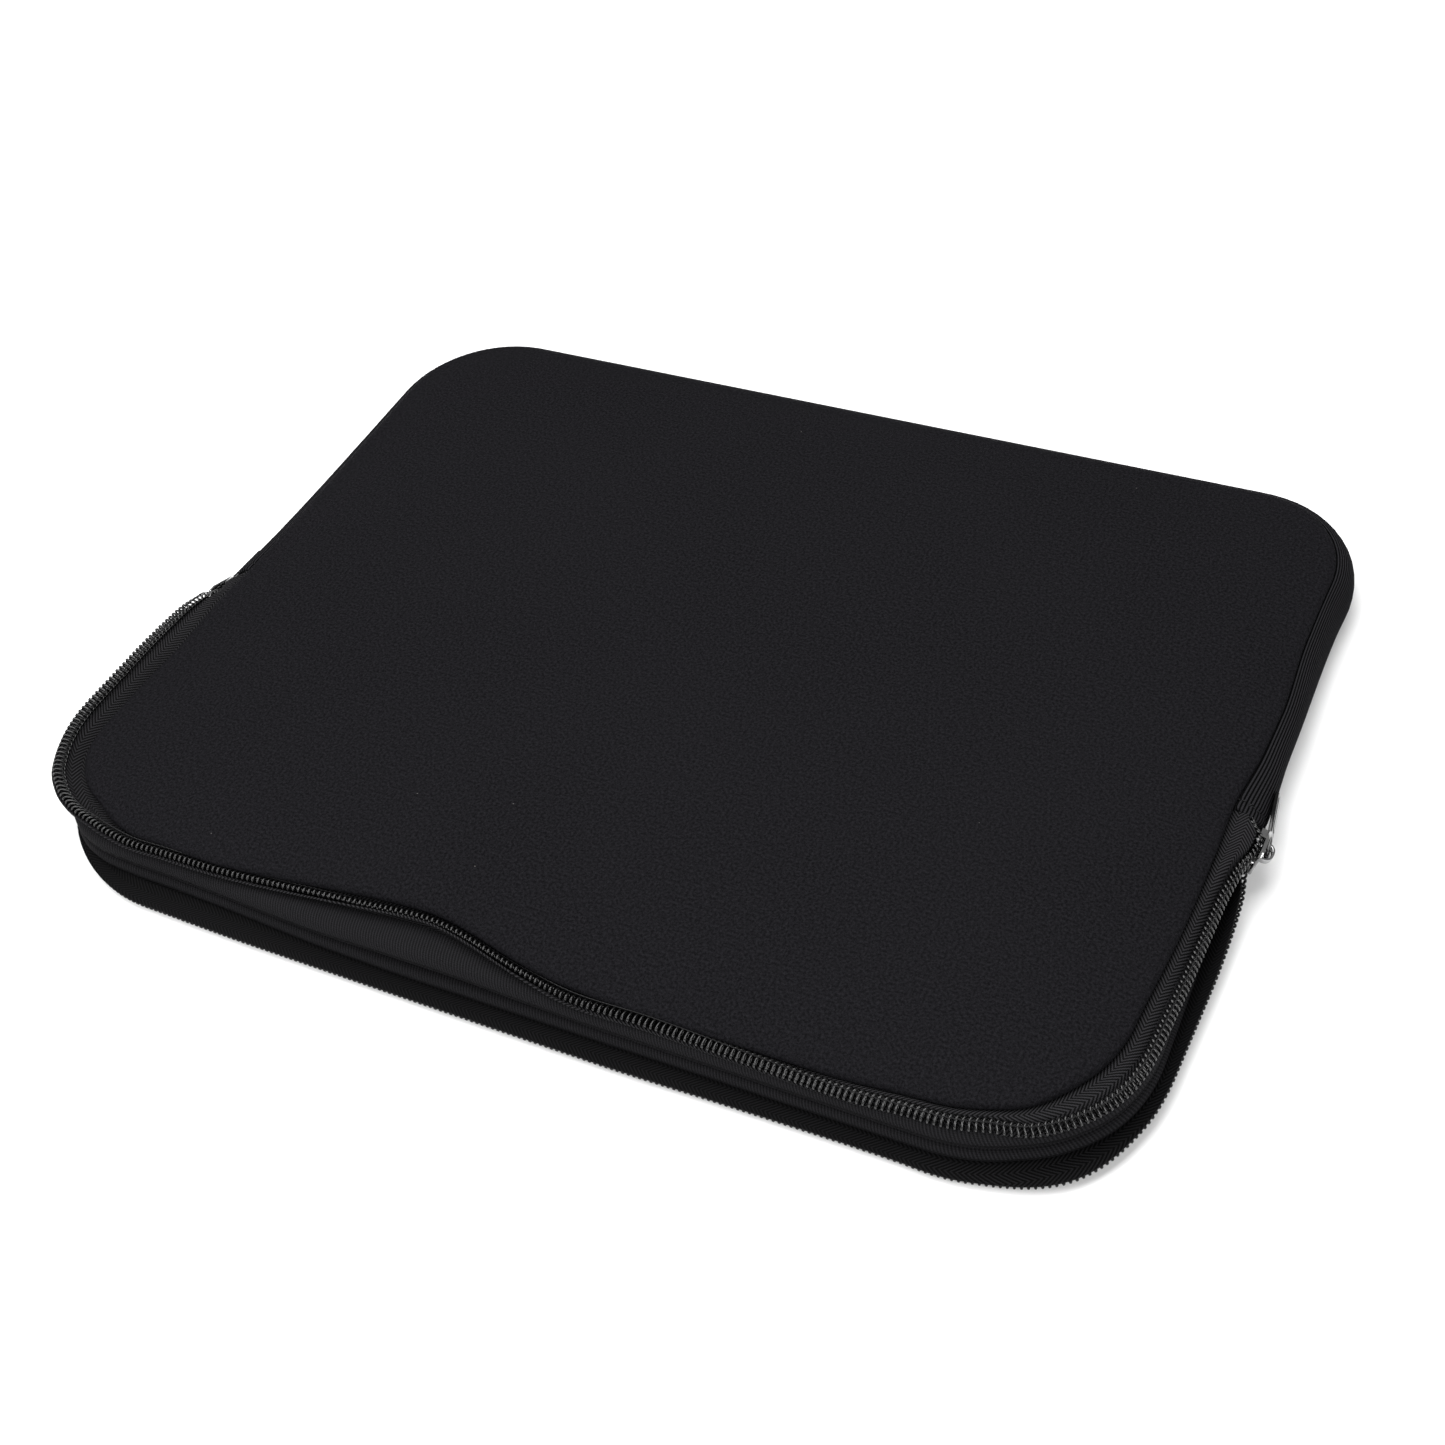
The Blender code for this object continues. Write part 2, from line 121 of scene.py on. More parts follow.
# The band's folded ends: the stitch line's distance, and the slant from the top seam to the bottom one
HEM = 3.6
HEM_FADE, HEM_FOLD = 14, 4
HEM_SLANT = ((0, -0.4), (0.12, -0.8), (0.3, -1.6), (0.42, -0.4), (0.8, 1.0), (1, 2.4))
BAND_FLAT = 22.0

# Binding rolls: the middle's u and z, and the radii
UPPER_BINDING = (1.0, 12.45, 4.2, 3.65)
LOWER_BINDING = (2.6, 6.55, 2.9, 2.35)

# Camera and lights
CAMERA_ANGLES = (34.4, 44.9, -10.9)
CAMERA_AIM = (0.005, -0.0051, 0)
CAMERA_DISTANCE = 0.7229
CAMERA_LENS = 57.24
WORLD_STRENGTH = 0.3
SOFTBOXES = (
    ("overhead softbox", (-0.2, 0.1, 1.1), (1.4, 1.0), 24),
    ("left softbox", (-0.7, -0.85, 0.7), (0.7, 0.5), 9),
    ("right softbox", (0.95, -0.6, 0.6), (0.8, 0.6), 12),
)


def chain_point(p, q):
    """(u, z) of a point given in the closed chain's frame: p runs up the tape and q outwards."""
    u = CHAIN_U + p * sin(CHAIN_LEAN) + q * cos(CHAIN_LEAN)
    return u, CHAIN_Z + p * cos(CHAIN_LEAN) - q * sin(CHAIN_LEAN)


# ---- the seam line


def dense_outline():
    """Points (x, y, nx, ny) every half millimetre, anticlockwise from the left end of the zipper."""
    inner_x, front_y = HALF_WIDTH - FRONT_RADIUS, FRONT_Y + FRONT_RADIUS
    rear_x, rear_y = HALF_WIDTH - REAR_RADIUS, REAR_Y - REAR_RADIUS
    rows = []

    def side(start, end, normal):
        count = max(2, round(2 * (Vector(end) - Vector(start)).length))
        for i in range(count):
            rows.append((*Vector(start).lerp(Vector(end), i / count), *normal))

    def turn(x, y, radius, first):
        count = round(pi * radius)
        for i in range(count):
            angle = radians(first + 90 * i / count)
            rows.append((x + radius * cos(angle), y + radius * sin(angle), cos(angle), sin(angle)))

    side((-HALF_WIDTH, ZIP_END_Y[-1]), (-HALF_WIDTH, front_y), (-1, 0))
    turn(-inner_x, front_y, FRONT_RADIUS, 180)
    side((-inner_x, FRONT_Y), (inner_x, FRONT_Y), (0, -1))
    turn(inner_x, front_y, FRONT_RADIUS, 270)
    side((HALF_WIDTH, front_y), (HALF_WIDTH, rear_y), (1, 0))
    turn(rear_x, rear_y, REAR_RADIUS, 0)
    side((rear_x, REAR_Y), (-rear_x, REAR_Y), (0, 1))
    turn(-rear_x, rear_y, REAR_RADIUS, 90)
    side((-HALF_WIDTH, rear_y), (-HALF_WIDTH, ZIP_END_Y[-1]), (-1, 0))
    return np.array(rows + rows[:1])


OUTLINE = dense_outline()
STEPS = np.hypot(*np.diff(OUTLINE[:, :2], axis=0).T)
OUTLINE_S = np.concatenate([[0], np.cumsum(STEPS)])
WHOLE = OUTLINE_S[-1]
SIDE = ZIP_END_Y[-1] - (FRONT_Y + FRONT_RADIUS)
CORNER = pi / 2 * FRONT_RADIUS
FRONT_START = SIDE + CORNER
FRONT_END = FRONT_START + 2 * (HALF_WIDTH - FRONT_RADIUS)
RIGHT_SIDE = FRONT_END + CORNER
ZIP = RIGHT_SIDE + ZIP_END_Y[1] - (FRONT_Y + FRONT_RADIUS)


def stations(s):
    """(x, y, nx, ny) on the seam line at each distance in s."""
    s = np.mod(s, WHOLE)
    x, y, nx, ny = (np.interp(s, OUTLINE_S, OUTLINE[:, i]) for i in range(4))
    size = np.hypot(nx, ny)
    return np.stack([x, y, nx / size, ny / size], -1)


def seam_points(place, u, z):
    """World points at (u, z) from the seam line, one a station."""
    return np.stack([place[:, 0] + place[:, 2] * u, place[:, 1] + place[:, 3] * u, z], -1)


def key_rows(*groups):
    """Rows (s, value, ...) from groups: a place on the seam line, and rows whose s is counted from it."""
    return [(start + row[0], *row[1:]) for start, *rows in groups for row in rows]


def smooth_keys(s, keys):
    """A smooth curve through rows (s, value, ...), without overshoot; returns one column a value."""
    keys = np.array(keys, float)
    at, values = keys[:, 0], keys[:, 1:]
    step = np.diff(at)[:, None]
    rise = np.diff(values, axis=0) / step
    slope = np.zeros_like(values)
    same = rise[1:] * rise[:-1] > 0
    slope[1:-1] = np.where(same, 2 * rise[1:] * rise[:-1] / np.where(same, rise[1:] + rise[:-1], 1), 0)
    s = np.clip(np.asarray(s, float), at[0], at[-1])
    i = np.clip(np.searchsorted(at, s, "right") - 1, 0, len(at) - 2)
    t = ((s - at[i]) / (at[i + 1] - at[i]))[:, None]
    h = step[i]
    a, b = values[i], values[i + 1]
    da, db = slope[i] * h, slope[i + 1] * h
    at_points = (2 * t**3 - 3 * t**2 + 1) * a + (3 * t**2 - 2 * t**3) * b
    return at_points + (t**3 - 2 * t**2 + t) * da + (t**3 - t**2) * db


def hump(x, y, middle, reach, power):
    """1 at the mouth, fading sideways over reach and towards the rear by power."""
    share = np.clip((REAR_Y - y) / (REAR_Y - FRONT_Y), 0, 1)
    return np.exp(-(((x - middle) / reach) ** 2)) * share**power


def bow(x, y):
    """How far the top panel hangs back."""
    return BOW * hump(x, y, BOW_X, np.where(x < BOW_X, BOW_LEFT_REACH, BOW_RIGHT_REACH), BOW_FADE)


def lift(x, y):
    """How far the top panel is lifted."""
    return LIFT * hump(x, y, LIFT_X, LIFT_REACH, LIFT_FADE)


# Top panel's edge, without the bow and the lift: s, u, z
EDGE_KEYS = key_rows(
    (0, (0, 1.0, 19.9), (12, 1.9, 20.2), (40, 1.3, 20.4), (60, 2.4, 20.5)),
    (SIDE, (0, 2.8, 20.6), (14, 3.6, 20.6), (23, 2.7, 20.5), (31, 0.8, 20.4), (40, -1.4, 20.2)),
    (FRONT_START, (0, -1.6, 20.0), (28, 0.9, 20.0), (100, 1.2, 20.0)),
    (FRONT_END, (-80, 0.9, 20.0), (-30, 0.6, 20.0), (0, -1.4, 20.2), (14, -1.8, 20.3), (27, -1.0, 20.3),
     (40, -1.6, 20.3)),
    (RIGHT_SIDE, (0, -1.3, 20.3)),
    (ZIP, (-45, 0, 20.3), (-18, -0.5, 20.2), (0, -1.3, 19.9), (22, 0.3, 20.0), (38, 0.4, 20.0),
     (70, -1.8, 20.0), (95, -2.2, 20.0), (140, 0, 20.0)),
    (WHOLE, (-60, 0, 20.0), (-22, 0.4, 20.0), (0, 1.0, 19.9)),
)

# The free edge of each tape: s, u, z of the coil's middle, and the tape's slope there in degrees
CLOSED_UP = (*chain_point(2.0, 0.5), -110)
CLOSED_LOW = (*chain_point(-2.0, 0.5), 70)
TUCKED_UP = (*chain_point(1.5, -3.5), -110)
TUCKED_LOW = (*chain_point(-2.5, -2.5), 70)
UPPER_KEYS = key_rows(
    (0, (1, *TUCKED_UP), (6, *CLOSED_UP), (9, *CLOSED_UP), (18, 9.2, 18.6, -30), (29, 9.8, 20.6, 0),
     (54, 10.0, 22.0, 15)),
    (SIDE, (0, 10.5, 22.0, 22), (21, 10.2, 21.4, 28), (29, 8.6, 20.3, 30), (36, 6.0, 19.3, 32),
     (45, 2.4, 18.4, 34)),
    (FRONT_START, (-10, 0.6, 18.0, 35), (0, 0.2, 17.9, 35), (28, 1.8, 17.8, 40), (60, 3.0, 17.6, 54),
     (80, 3.7, 17.6, 68), (102, 3.1, 17.6, 75), (120, 2.8, 17.6, 72), (136, 2.7, 17.6, 55),
     (150, 3.1, 17.6, 32), (175, 2.0, 17.6, 10), (208, 2.9, 17.5, -12)),
    (FRONT_END, (-22, 3.6, 17.5, -28), (0, 2.4, 17.5, -34), (14, 2.5, 17.5, -34), (27, 5.6, 17.4, -32),
     (44, 6.7, 17.2, -36)),
    (RIGHT_SIDE, (0, 5.0, 16.0, -42)),
    (ZIP, (-60, 5.3, 15.4, -50), (-34, 5.3, 15.2, -58), (-20, 6.2, 15.0, -75), (-10, *CLOSED_UP),
     (-6, *CLOSED_UP), (-1, *TUCKED_UP)),
)
LOWER_KEYS = key_rows(
    (0, (1, *TUCKED_LOW), (6, *CLOSED_LOW), (11, *CLOSED_LOW), (34, 7.4, 8.0, 50)),
    (SIDE, (0, 7.4, 4.6, 15), (22, 7.4, 2.8, 5)),
    (FRONT_START, (-18, 6.9, 1.7, 0), (0, 7.2, 1.5, -5), (40, 8.0, 1.5, -5), (160, 8.3, 1.5, -5)),
    (FRONT_END, (-55, 7.5, 1.5, -5), (-10, 6.9, 1.5, -5), (12, 8.0, 1.6, -5), (33, 11.8, 2.4, 0),
     (50, 9.8, 3.2, 6)),
    (RIGHT_SIDE, (0, 8.5, 3.9, 12)),
    (ZIP, (-52, 8.5, 4.5, 15), (-37, 8.2, 5.6, 25), (-24, 7.6, 7.6, 40), (-13, *CLOSED_LOW),
     (-6, *CLOSED_LOW), (-1, *TUCKED_LOW)),
)

# How far the binding rolls stand out: s, millimetres
MOUTH_KEYS = key_rows(
    (0, (0, -3.4), (30, -1.5)),
    (SIDE, (0, 1.0), (12, 2.6), (26, 3.2), (37, 2.4), (47, 0.2), (58, -2.4)),
    (FRONT_START, (0, -3.0), (20, -2.4), (68, 0), (100, 0.4)),
    (FRONT_END, (0, 0), (20, 0.4), (33, 1.8), (47, 2.6)),
    (RIGHT_SIDE, (0, 1.6)),
    (ZIP, (-40, -1.0), (-15, -3.4), (0, -3.8)),
)

# How far the band bulges out: s, millimetres
BAND_KEYS = key_rows(
    (ZIP, (0, 9.2), (10, 8.5), (30, 6.4), (60, 5.4), (88, 4.4), (120, 6.4), (200, 6.6)),
    (WHOLE, (-120, 6.6), (-40, 7.6), (-14, 8.4), (0, 8.8)),
)


def edge_at(s):
    """(u, z) of the top panel's edge at each station, with the bow and the lift."""
    place = stations(s)
    u, z = smooth_keys(np.mod(s, WHOLE), EDGE_KEYS).T
    return np.stack([u - bow(place[:, 0], place[:, 1]), z + lift(place[:, 0], place[:, 1])], -1)


def coil_at(s, upper):
    """(u, z, slope in radians) of a coil's middle at each station."""
    place = stations(s)
    u, z, slope = smooth_keys(s, UPPER_KEYS if upper else LOWER_KEYS).T
    if upper:
        u = u - bow(place[:, 0], place[:, 1])
        z = z + lift(place[:, 0], place[:, 1])
    return np.stack([u, z, np.radians(slope)], -1)


# ---- meshes


def new_object(name, mesh, material):
    obj = bpy.data.objects.new(name, mesh)
    bpy.context.scene.collection.objects.link(obj)
    mesh.materials.append(material)
    return obj


def mesh_of(name, points, faces, cloth=None, sharp=40):
    """A mesh from points in millimetres; cloth holds each point's place on the flat cloth, in millimetres."""
    mesh = bpy.data.meshes.new(name)
    mesh.from_pydata((np.asarray(points, float) * MM).tolist(), [], faces)
    if cloth is not None:
        flat = np.zeros((len(points), 3), np.float32)
        flat[:, :2] = np.asarray(cloth, float).reshape(-1, 2) * MM
        layer = mesh.attributes.new("cloth", "FLOAT_VECTOR", "POINT")
        layer.data.foreach_set("vector", flat.ravel())
    mesh.validate()
    mesh.shade_smooth()
    mesh.set_sharp_from_angle(angle=radians(sharp))
    return mesh


def tube_faces(rows, ring):
    """Faces of a closed tube of rows rings: its quads, and a cap at each end."""
    i = np.arange(rows - 1)[:, None]
    j = np.arange(ring)[None, :]
    after = (j + 1) % ring
    quads = np.stack([i * ring + j, (i + 1) * ring + j, (i + 1) * ring + after, i * ring + after], -1)
    first = list(range(ring))
    last = [(rows - 1) * ring + k for k in first]
    return quads.reshape(-1, 4).tolist() + [first, last[::-1]]


def closed_object(name, points, faces, material, cloth=None, sharp=80):
    """An object of one closed mesh, whose faces all look outwards."""
    mesh = mesh_of(name, points, faces, cloth, sharp)
    fix_normals(mesh)
    return new_object(name, mesh, material)


def unit(vectors):
    return vectors / np.linalg.norm(vectors, axis=-1, keepdims=True)


def left_of(vectors):
    """A section's vectors, turned a quarter turn to the left."""
    return np.stack([-vectors[..., 1], vectors[..., 0]], -1)


def sweep(name, s, sections, material, across=None, shift=0, sharp=40):
    """A solid of closed sections, shaped (stations, points, 2) in (u, z), swept along the seam line.

    across says where each of a section's points lies across the flat cloth, and is measured here if it is None.
    shift moves points along the seam line, which it does as if that were straight."""
    place = stations(s)[:, None]
    u = sections[..., 0]
    x = place[..., 0] + place[..., 2] * u - place[..., 3] * shift
    y = place[..., 1] + place[..., 3] * u + place[..., 2] * shift
    points = np.stack([x, y, sections[..., 1]], -1)
    rows, ring = u.shape
    if across is None:
        edge = np.diff(sections, axis=1, append=sections[:, :1])
        measured = np.cumsum(np.hypot(edge[..., 0], edge[..., 1]), 1)
        across = np.concatenate([np.zeros((rows, 1)), measured[:, :-1]], 1)
    else:
        across = np.tile(across, (rows, 1))
    along = np.repeat(np.asarray(s)[:, None], ring, 1) + shift
    cloth = np.stack([along, across], -1)
    return closed_object(name, points.reshape(-1, 3), tube_faces(rows, ring), material, cloth, sharp)


def fix_normals(mesh):
    bm = bmesh.new()
    bm.from_mesh(mesh)
    bmesh.ops.recalc_face_normals(bm, faces=bm.faces)
    bm.to_mesh(mesh)
    bm.free()


def bezier(a, b, c, d, count):
    """Cubic curves between arrays of points, as (stations, count, 2)."""
    t = np.linspace(0, 1, count)[None, :, None]
    a, b, c, d = (p[:, None, :] for p in (a, b, c, d))
    return (1 - t) ** 3 * a + 3 * (1 - t) ** 2 * t * b + 3 * (1 - t) * t**2 * c + t**3 * d


def thick(lines, thickness):
    """Closed sections: lines of (stations, points, 2) given a thickness."""
    normal = left_of(unit(np.gradient(lines, axis=1))) * (thickness / 2)
    return np.concatenate([lines + normal, (lines - normal)[:, ::-1]], 1)


# ---- zipper


def slope_vector(slope):
    return np.stack([np.cos(slope), np.sin(slope)], -1)


def tape_lines(s, upper):
    """The tape's middle line at each station, from its seam to its free edge under the coil."""
    coil = coil_at(s, upper)
    along = slope_vector(coil[:, 2])
    outward = left_of(along) * (1 if upper else -1)
    under = coil[:, :2] - outward * (COIL_HALF_THICKNESS + COIL_WIRE + TAPE / 2)
    near = under - along * (COIL_HALF_WIDTH + 0.3)
    opened = np.interp(np.minimum(s, ZIP - s), (14, 20), (0, 1))
    past_heads = (0.35 if upper else 0.5) * opened - 0.4 * (1 - opened)
    free = under + along * (COIL_HALF_WIDTH + past_heads)[:, None]
    if upper:
        seam = edge_at(s) + np.array([-1.0, -3.4])
        lead = slope_vector(np.clip(-2.5 * coil[:, 2], radians(-60), radians(8)))
    else:
        seam = np.tile([-0.7, 3.35], (len(s), 1)).astype(float)
        lead = np.array([0.95, 0.3])
    reach = np.linalg.norm(near - seam, axis=1, keepdims=True) * 0.42
    sag = np.clip((coil[:, 2] - radians(45)) / radians(25), 0, 1) * (2.2 if upper else 0)
    last = near - along * reach * (0.3 + 0.7 * opened + sag)[:, None]
    curve = bezier(seam, seam + lead * reach, last, near, 13)
    return np.concatenate([curve, free[:, None, :]], 1)


def add_tape(upper, material):
    s = np.linspace(-TAPE_PAST_END, ZIP + TAPE_PAST_END, 300)
    lines = tape_lines(np.clip(s, 0, ZIP), upper)
    return sweep(f"{LEVEL[upper]}_zipper_tape_cloth", s, thick(lines, TAPE), material)


def rail(s, upper):
    """Points, and the directions along, across the tape and outwards, of a coil's middle line."""
    place = stations(s)
    coil = coil_at(s, upper)
    across = slope_vector(coil[:, 2])
    outward = left_of(across) * (1 if upper else -1)

    def world(vector):
        return np.stack([place[:, 2] * vector[:, 0], place[:, 3] * vector[:, 0], vector[:, 1]], -1)

    point = seam_points(place, coil[:, 0], coil[:, 1])
    return point, unit(np.gradient(point, axis=0)), world(across), world(outward)


def coil_track(upper):
    """A coil's middle line: the length so far, then what rail gives."""
    columns = rail(np.linspace(0, ZIP, 1200), upper)
    steps = np.linalg.norm(np.diff(columns[0], axis=0), axis=1)
    return np.concatenate([[0], np.cumsum(steps)]), *columns


def along_track(track, at):
    """What rail gives, at the lengths in at."""
    length, *columns = track
    return [np.stack([np.interp(at, length, rows[:, i]) for i in range(3)], -1) for rows in columns]


def tube(points, wide_way, wide, tall, sides):
    """Rings of a tube, as (points, sides, 3): its wide radius lies along wide_way, and its tall one across."""
    tangent = unit(np.gradient(points, axis=0))
    side = unit(wide_way - tangent * (wide_way * tangent).sum(1, keepdims=True))
    over = np.cross(tangent, side)
    angle = (np.arange(sides) / sides * 2 * pi)[None, :, None]
    wide, tall = wide[:, None, None], tall[:, None, None]
    return points[:, None] + side[:, None] * np.cos(angle) * wide + over[:, None] * np.sin(angle) * tall


def closed_tube(name, rings, material):
    return closed_object(name, rings.reshape(-1, 3), tube_faces(*rings.shape[:2]), material)


def signed_power(value, power):
    return np.sign(value) * np.abs(value) ** power


def add_coil(upper, track, material):
    """The nylon coil: flattened turns whose legs lie across the chain, with a pressed head at the free edge."""
    whole = track[0][-1]
    turns = int(whole / COIL_PITCH)
    phase = np.arange(turns * TURN_SAMPLES) / TURN_SAMPLES
    part = phase % 1
    angle = part * 2 * pi
    advance = np.floor(phase) + np.clip((part - 0.3) / 0.4, 0, 1)
    centre, along, side, out = along_track(track, advance * whole / turns)
    p = COIL_HALF_WIDTH * signed_power(np.cos(angle), 0.7)
    q = COIL_HALF_THICKNESS * signed_power(np.sin(angle), 0.75)
    points = centre + side * p[:, None] + out * q[:, None]
    head = 0.1 * np.exp(-(((p - COIL_HALF_WIDTH) / 0.45) ** 2))
    rings = tube(points, along, COIL_WIRE * (1 + head), COIL_WIRE * (1 - head), WIRE_SIDES)
    return closed_tube(f"{LEVEL[upper]}_coil_turns", rings, material)


def add_chain_stitch(upper, track, material):
    """The sewing line over the legs of the coil: a thread that dips between the turns."""
    whole = track[0][-1]
    turns = int(whole / COIL_PITCH)
    at = np.linspace(1, whole - 1, turns * THREAD_SAMPLES)
    wave = np.cos(2 * pi * at / (whole / turns))
    centre, _, side, out = along_track(track, at)
    top = COIL_HALF_THICKNESS + COIL_WIRE - 0.02
    points = centre + side * (0.1 * wave - 0.85)[:, None] + out * (top + 0.09 * wave)[:, None]
    radius = np.full(len(at), THREAD_RADIUS)
    rings = tube(points, out, radius, radius, 4)
    return closed_tube(f"{LEVEL[upper]}_coil_stitch", rings, material)


# ---- panels


def grid_stations(across, deep):
    """s of the grid's border: front, right, rear and left, each from corner middle to corner middle."""
    rear_turn = pi / 4 * REAR_RADIUS
    right_rear = ZIP + (REAR_Y - REAR_RADIUS - ZIP_END_Y[1]) + rear_turn
    left_rear = right_rear + 2 * rear_turn + 2 * (HALF_WIDTH - REAR_RADIUS)
    corners = (SIDE + CORNER / 2, FRONT_END + CORNER / 2, right_rear, left_rear, WHOLE + SIDE + CORNER / 2)
    counts = (across, deep, across, deep)
    return [np.linspace(a, b, n + 1) for a, b, n in zip(corners[:-1], corners[1:], counts)]


def coons(front, right, rear, left):
    """A smooth patch inside four border rows that run anticlockwise, shaped (across + 1, deep + 1, values)."""
    rear, left = rear[::-1], left[::-1]
    u = np.linspace(0, 1, len(front))[:, None, None]
    v = np.linspace(0, 1, len(right))[None, :, None]
    ruled = (1 - v) * front[:, None] + v * rear[:, None] + (1 - u) * left[None] + u * right[None]
    corners = (1 - u) * (1 - v) * front[0] + u * (1 - v) * front[-1] + (1 - u) * v * rear[0] + u * v * rear[-1]
    return ruled - corners


def inside_by(x, y):
    """How far inside the seam line each point lies, in millimetres."""
    middle = (FRONT_Y + REAR_Y) / 2
    radius = np.where(y < middle, FRONT_RADIUS, REAR_RADIUS)
    dx = np.abs(x) - (HALF_WIDTH - radius)
    dy = np.abs(y - middle) - ((REAR_Y - FRONT_Y) / 2 - radius)
    out = np.hypot(np.maximum(dx, 0), np.maximum(dy, 0)) + np.minimum(np.maximum(dx, dy), 0)
    return radius - out


def top_rim(s, roll):
    """World points of the top panel's edge at each station, moved by roll = (u, z)."""
    return seam_points(stations(s), *(edge_at(s) + roll).T)


def bottom_rim(s, roll):
    return seam_points(stations(s), BOTTOM_EDGE_U + roll[0], np.full(len(s), float(roll[1])))


def crowned(points, ring_gap):
    """Raises a grid of top-panel points into its crown, with a quick rise behind the seam."""
    x, y, z = points[..., 0], points[..., 1], points[..., 2]
    depth = np.maximum(inside_by(x, y) - ring_gap, 0)
    across = np.abs(np.linspace(-1, 1, points.shape[0]))[:, None]
    deep = np.abs(np.linspace(-1, 1, points.shape[1]))[None, :]
    dome = CROWN * (1 - across**CROWN_POWER) * (1 - deep**CROWN_POWER)
    return np.stack([x, y, z + dome + PUFF * (1 - np.exp(-depth / PUFF_REACH))], -1)


def panel(name, top, roll, thickness, material, grid=COARSE_GRID):
    """A layer of a panel: a grid inside the first of its rolled rings, the rings, and an even thickness."""
    rim = top_rim if top else bottom_rim
    sides = grid_stations(*grid)
    rings = [[rim(s, step) for s in sides] for step in roll]
    inner = coons(*rings[0])
    if top:
        ring_gap = coons(*[inside_by(p[:, 0], p[:, 1])[:, None] for p in rings[0]])[..., 0]
        inner[..., 2] -= coons(*[lift(p[:, 0], p[:, 1])[:, None] for p in rings[0]])[..., 0]
        inner[..., 2] += lift(inner[..., 0], inner[..., 1])
        inner = crowned(inner, ring_gap)
    across, deep = grid
    index = np.arange((across + 1) * (deep + 1)).reshape(across + 1, deep + 1)
    quads = np.stack([index[:-1, :-1], index[1:, :-1], index[1:, 1:], index[:-1, 1:]], -1).reshape(-1, 4)
    points = [inner.reshape(-1, 3)]
    previous = np.concatenate([index[:-1, 0], index[-1, :-1], index[:0:-1, -1], index[0, :0:-1]])
    faces = quads.tolist()
    cloth = [points[0][:, :2]]
    flat = cloth[0][previous]
    start = len(points[0])
    outward = stations(np.concatenate([side[:-1] for side in sides]))[:, 2:]
    for before, ring in zip(rings, rings[1:]):
        here, there = (np.concatenate([side[:-1] for side in row]) for row in (ring, before))
        flat = flat + outward * np.linalg.norm(here - there, axis=1)[:, None]
        numbers = start + np.arange(len(here))
        faces += np.stack([previous, numbers, np.roll(numbers, -1), np.roll(previous, -1)], -1).tolist()
        points.append(here)
        cloth.append(flat)
        previous, start = numbers, start + len(here)
    mesh = mesh_of(name, np.concatenate(points), faces, np.concatenate(cloth), sharp=60)
    obj = new_object(name, mesh, material)
    solid = obj.modifiers.new("Thickness", "SOLIDIFY")
    solid.thickness = thickness * MM
    solid.offset = -1 if top else 1
    solid.use_quality_normals = True
    return bake_modifiers(obj)


def bake_modifiers(obj):
    graph = bpy.context.evaluated_depsgraph_get()
    mesh = bpy.data.meshes.new_from_object(obj.evaluated_get(graph), depsgraph=graph)
    obj.modifiers.clear()
    old = obj.data
    obj.data = mesh
    bpy.data.meshes.remove(old)
    return obj


# ---- rim


def resample(section, count):
    """count points evenly along each polyline of sections shaped (stations, points, 2)."""
    steps = np.linalg.norm(np.diff(section, axis=1), axis=-1)
    length = np.concatenate([np.zeros((len(section), 1)), np.cumsum(steps, 1)], 1)
    rows = []
    for row, at in zip(section, length):
        wanted = np.linspace(0, at[-1], count)
        rows.append(np.stack([np.interp(wanted, at, row[:, 0]), np.interp(wanted, at, row[:, 1])], -1))
    return np.array(rows)


def band_lines(s):
    """The band's smooth outer line at each station, from the top seam to the bottom one."""
    edge = edge_at(s)
    top = edge + np.array([-0.6, -1.5])
    bottom = np.tile([BOTTOM_EDGE_U - 0.2, 3.0], (len(s), 1)).astype(float)
    reach = smooth_keys(s, BAND_KEYS)
    from_zip = np.minimum(np.abs(s - ZIP), np.abs(WHOLE - s))
    raised = 3.0 * np.exp(-from_zip / 9)
    high = top + np.concatenate([reach * 1.15, (raised - 1.6)[:, None]], 1)
    low = bottom + np.concatenate([reach * 1.1, np.full((len(s), 1), 1.4)], 1)
    lines = resample(bezier(top, high, low, bottom, 40), BAND_RIBS * 6 + 1)
    from_seam = np.linspace(0, 1, lines.shape[1]) * BAND_FLAT
    lines[..., 1] -= 1.7 * np.exp(-((from_seam / 0.75) ** 2))
    return lines


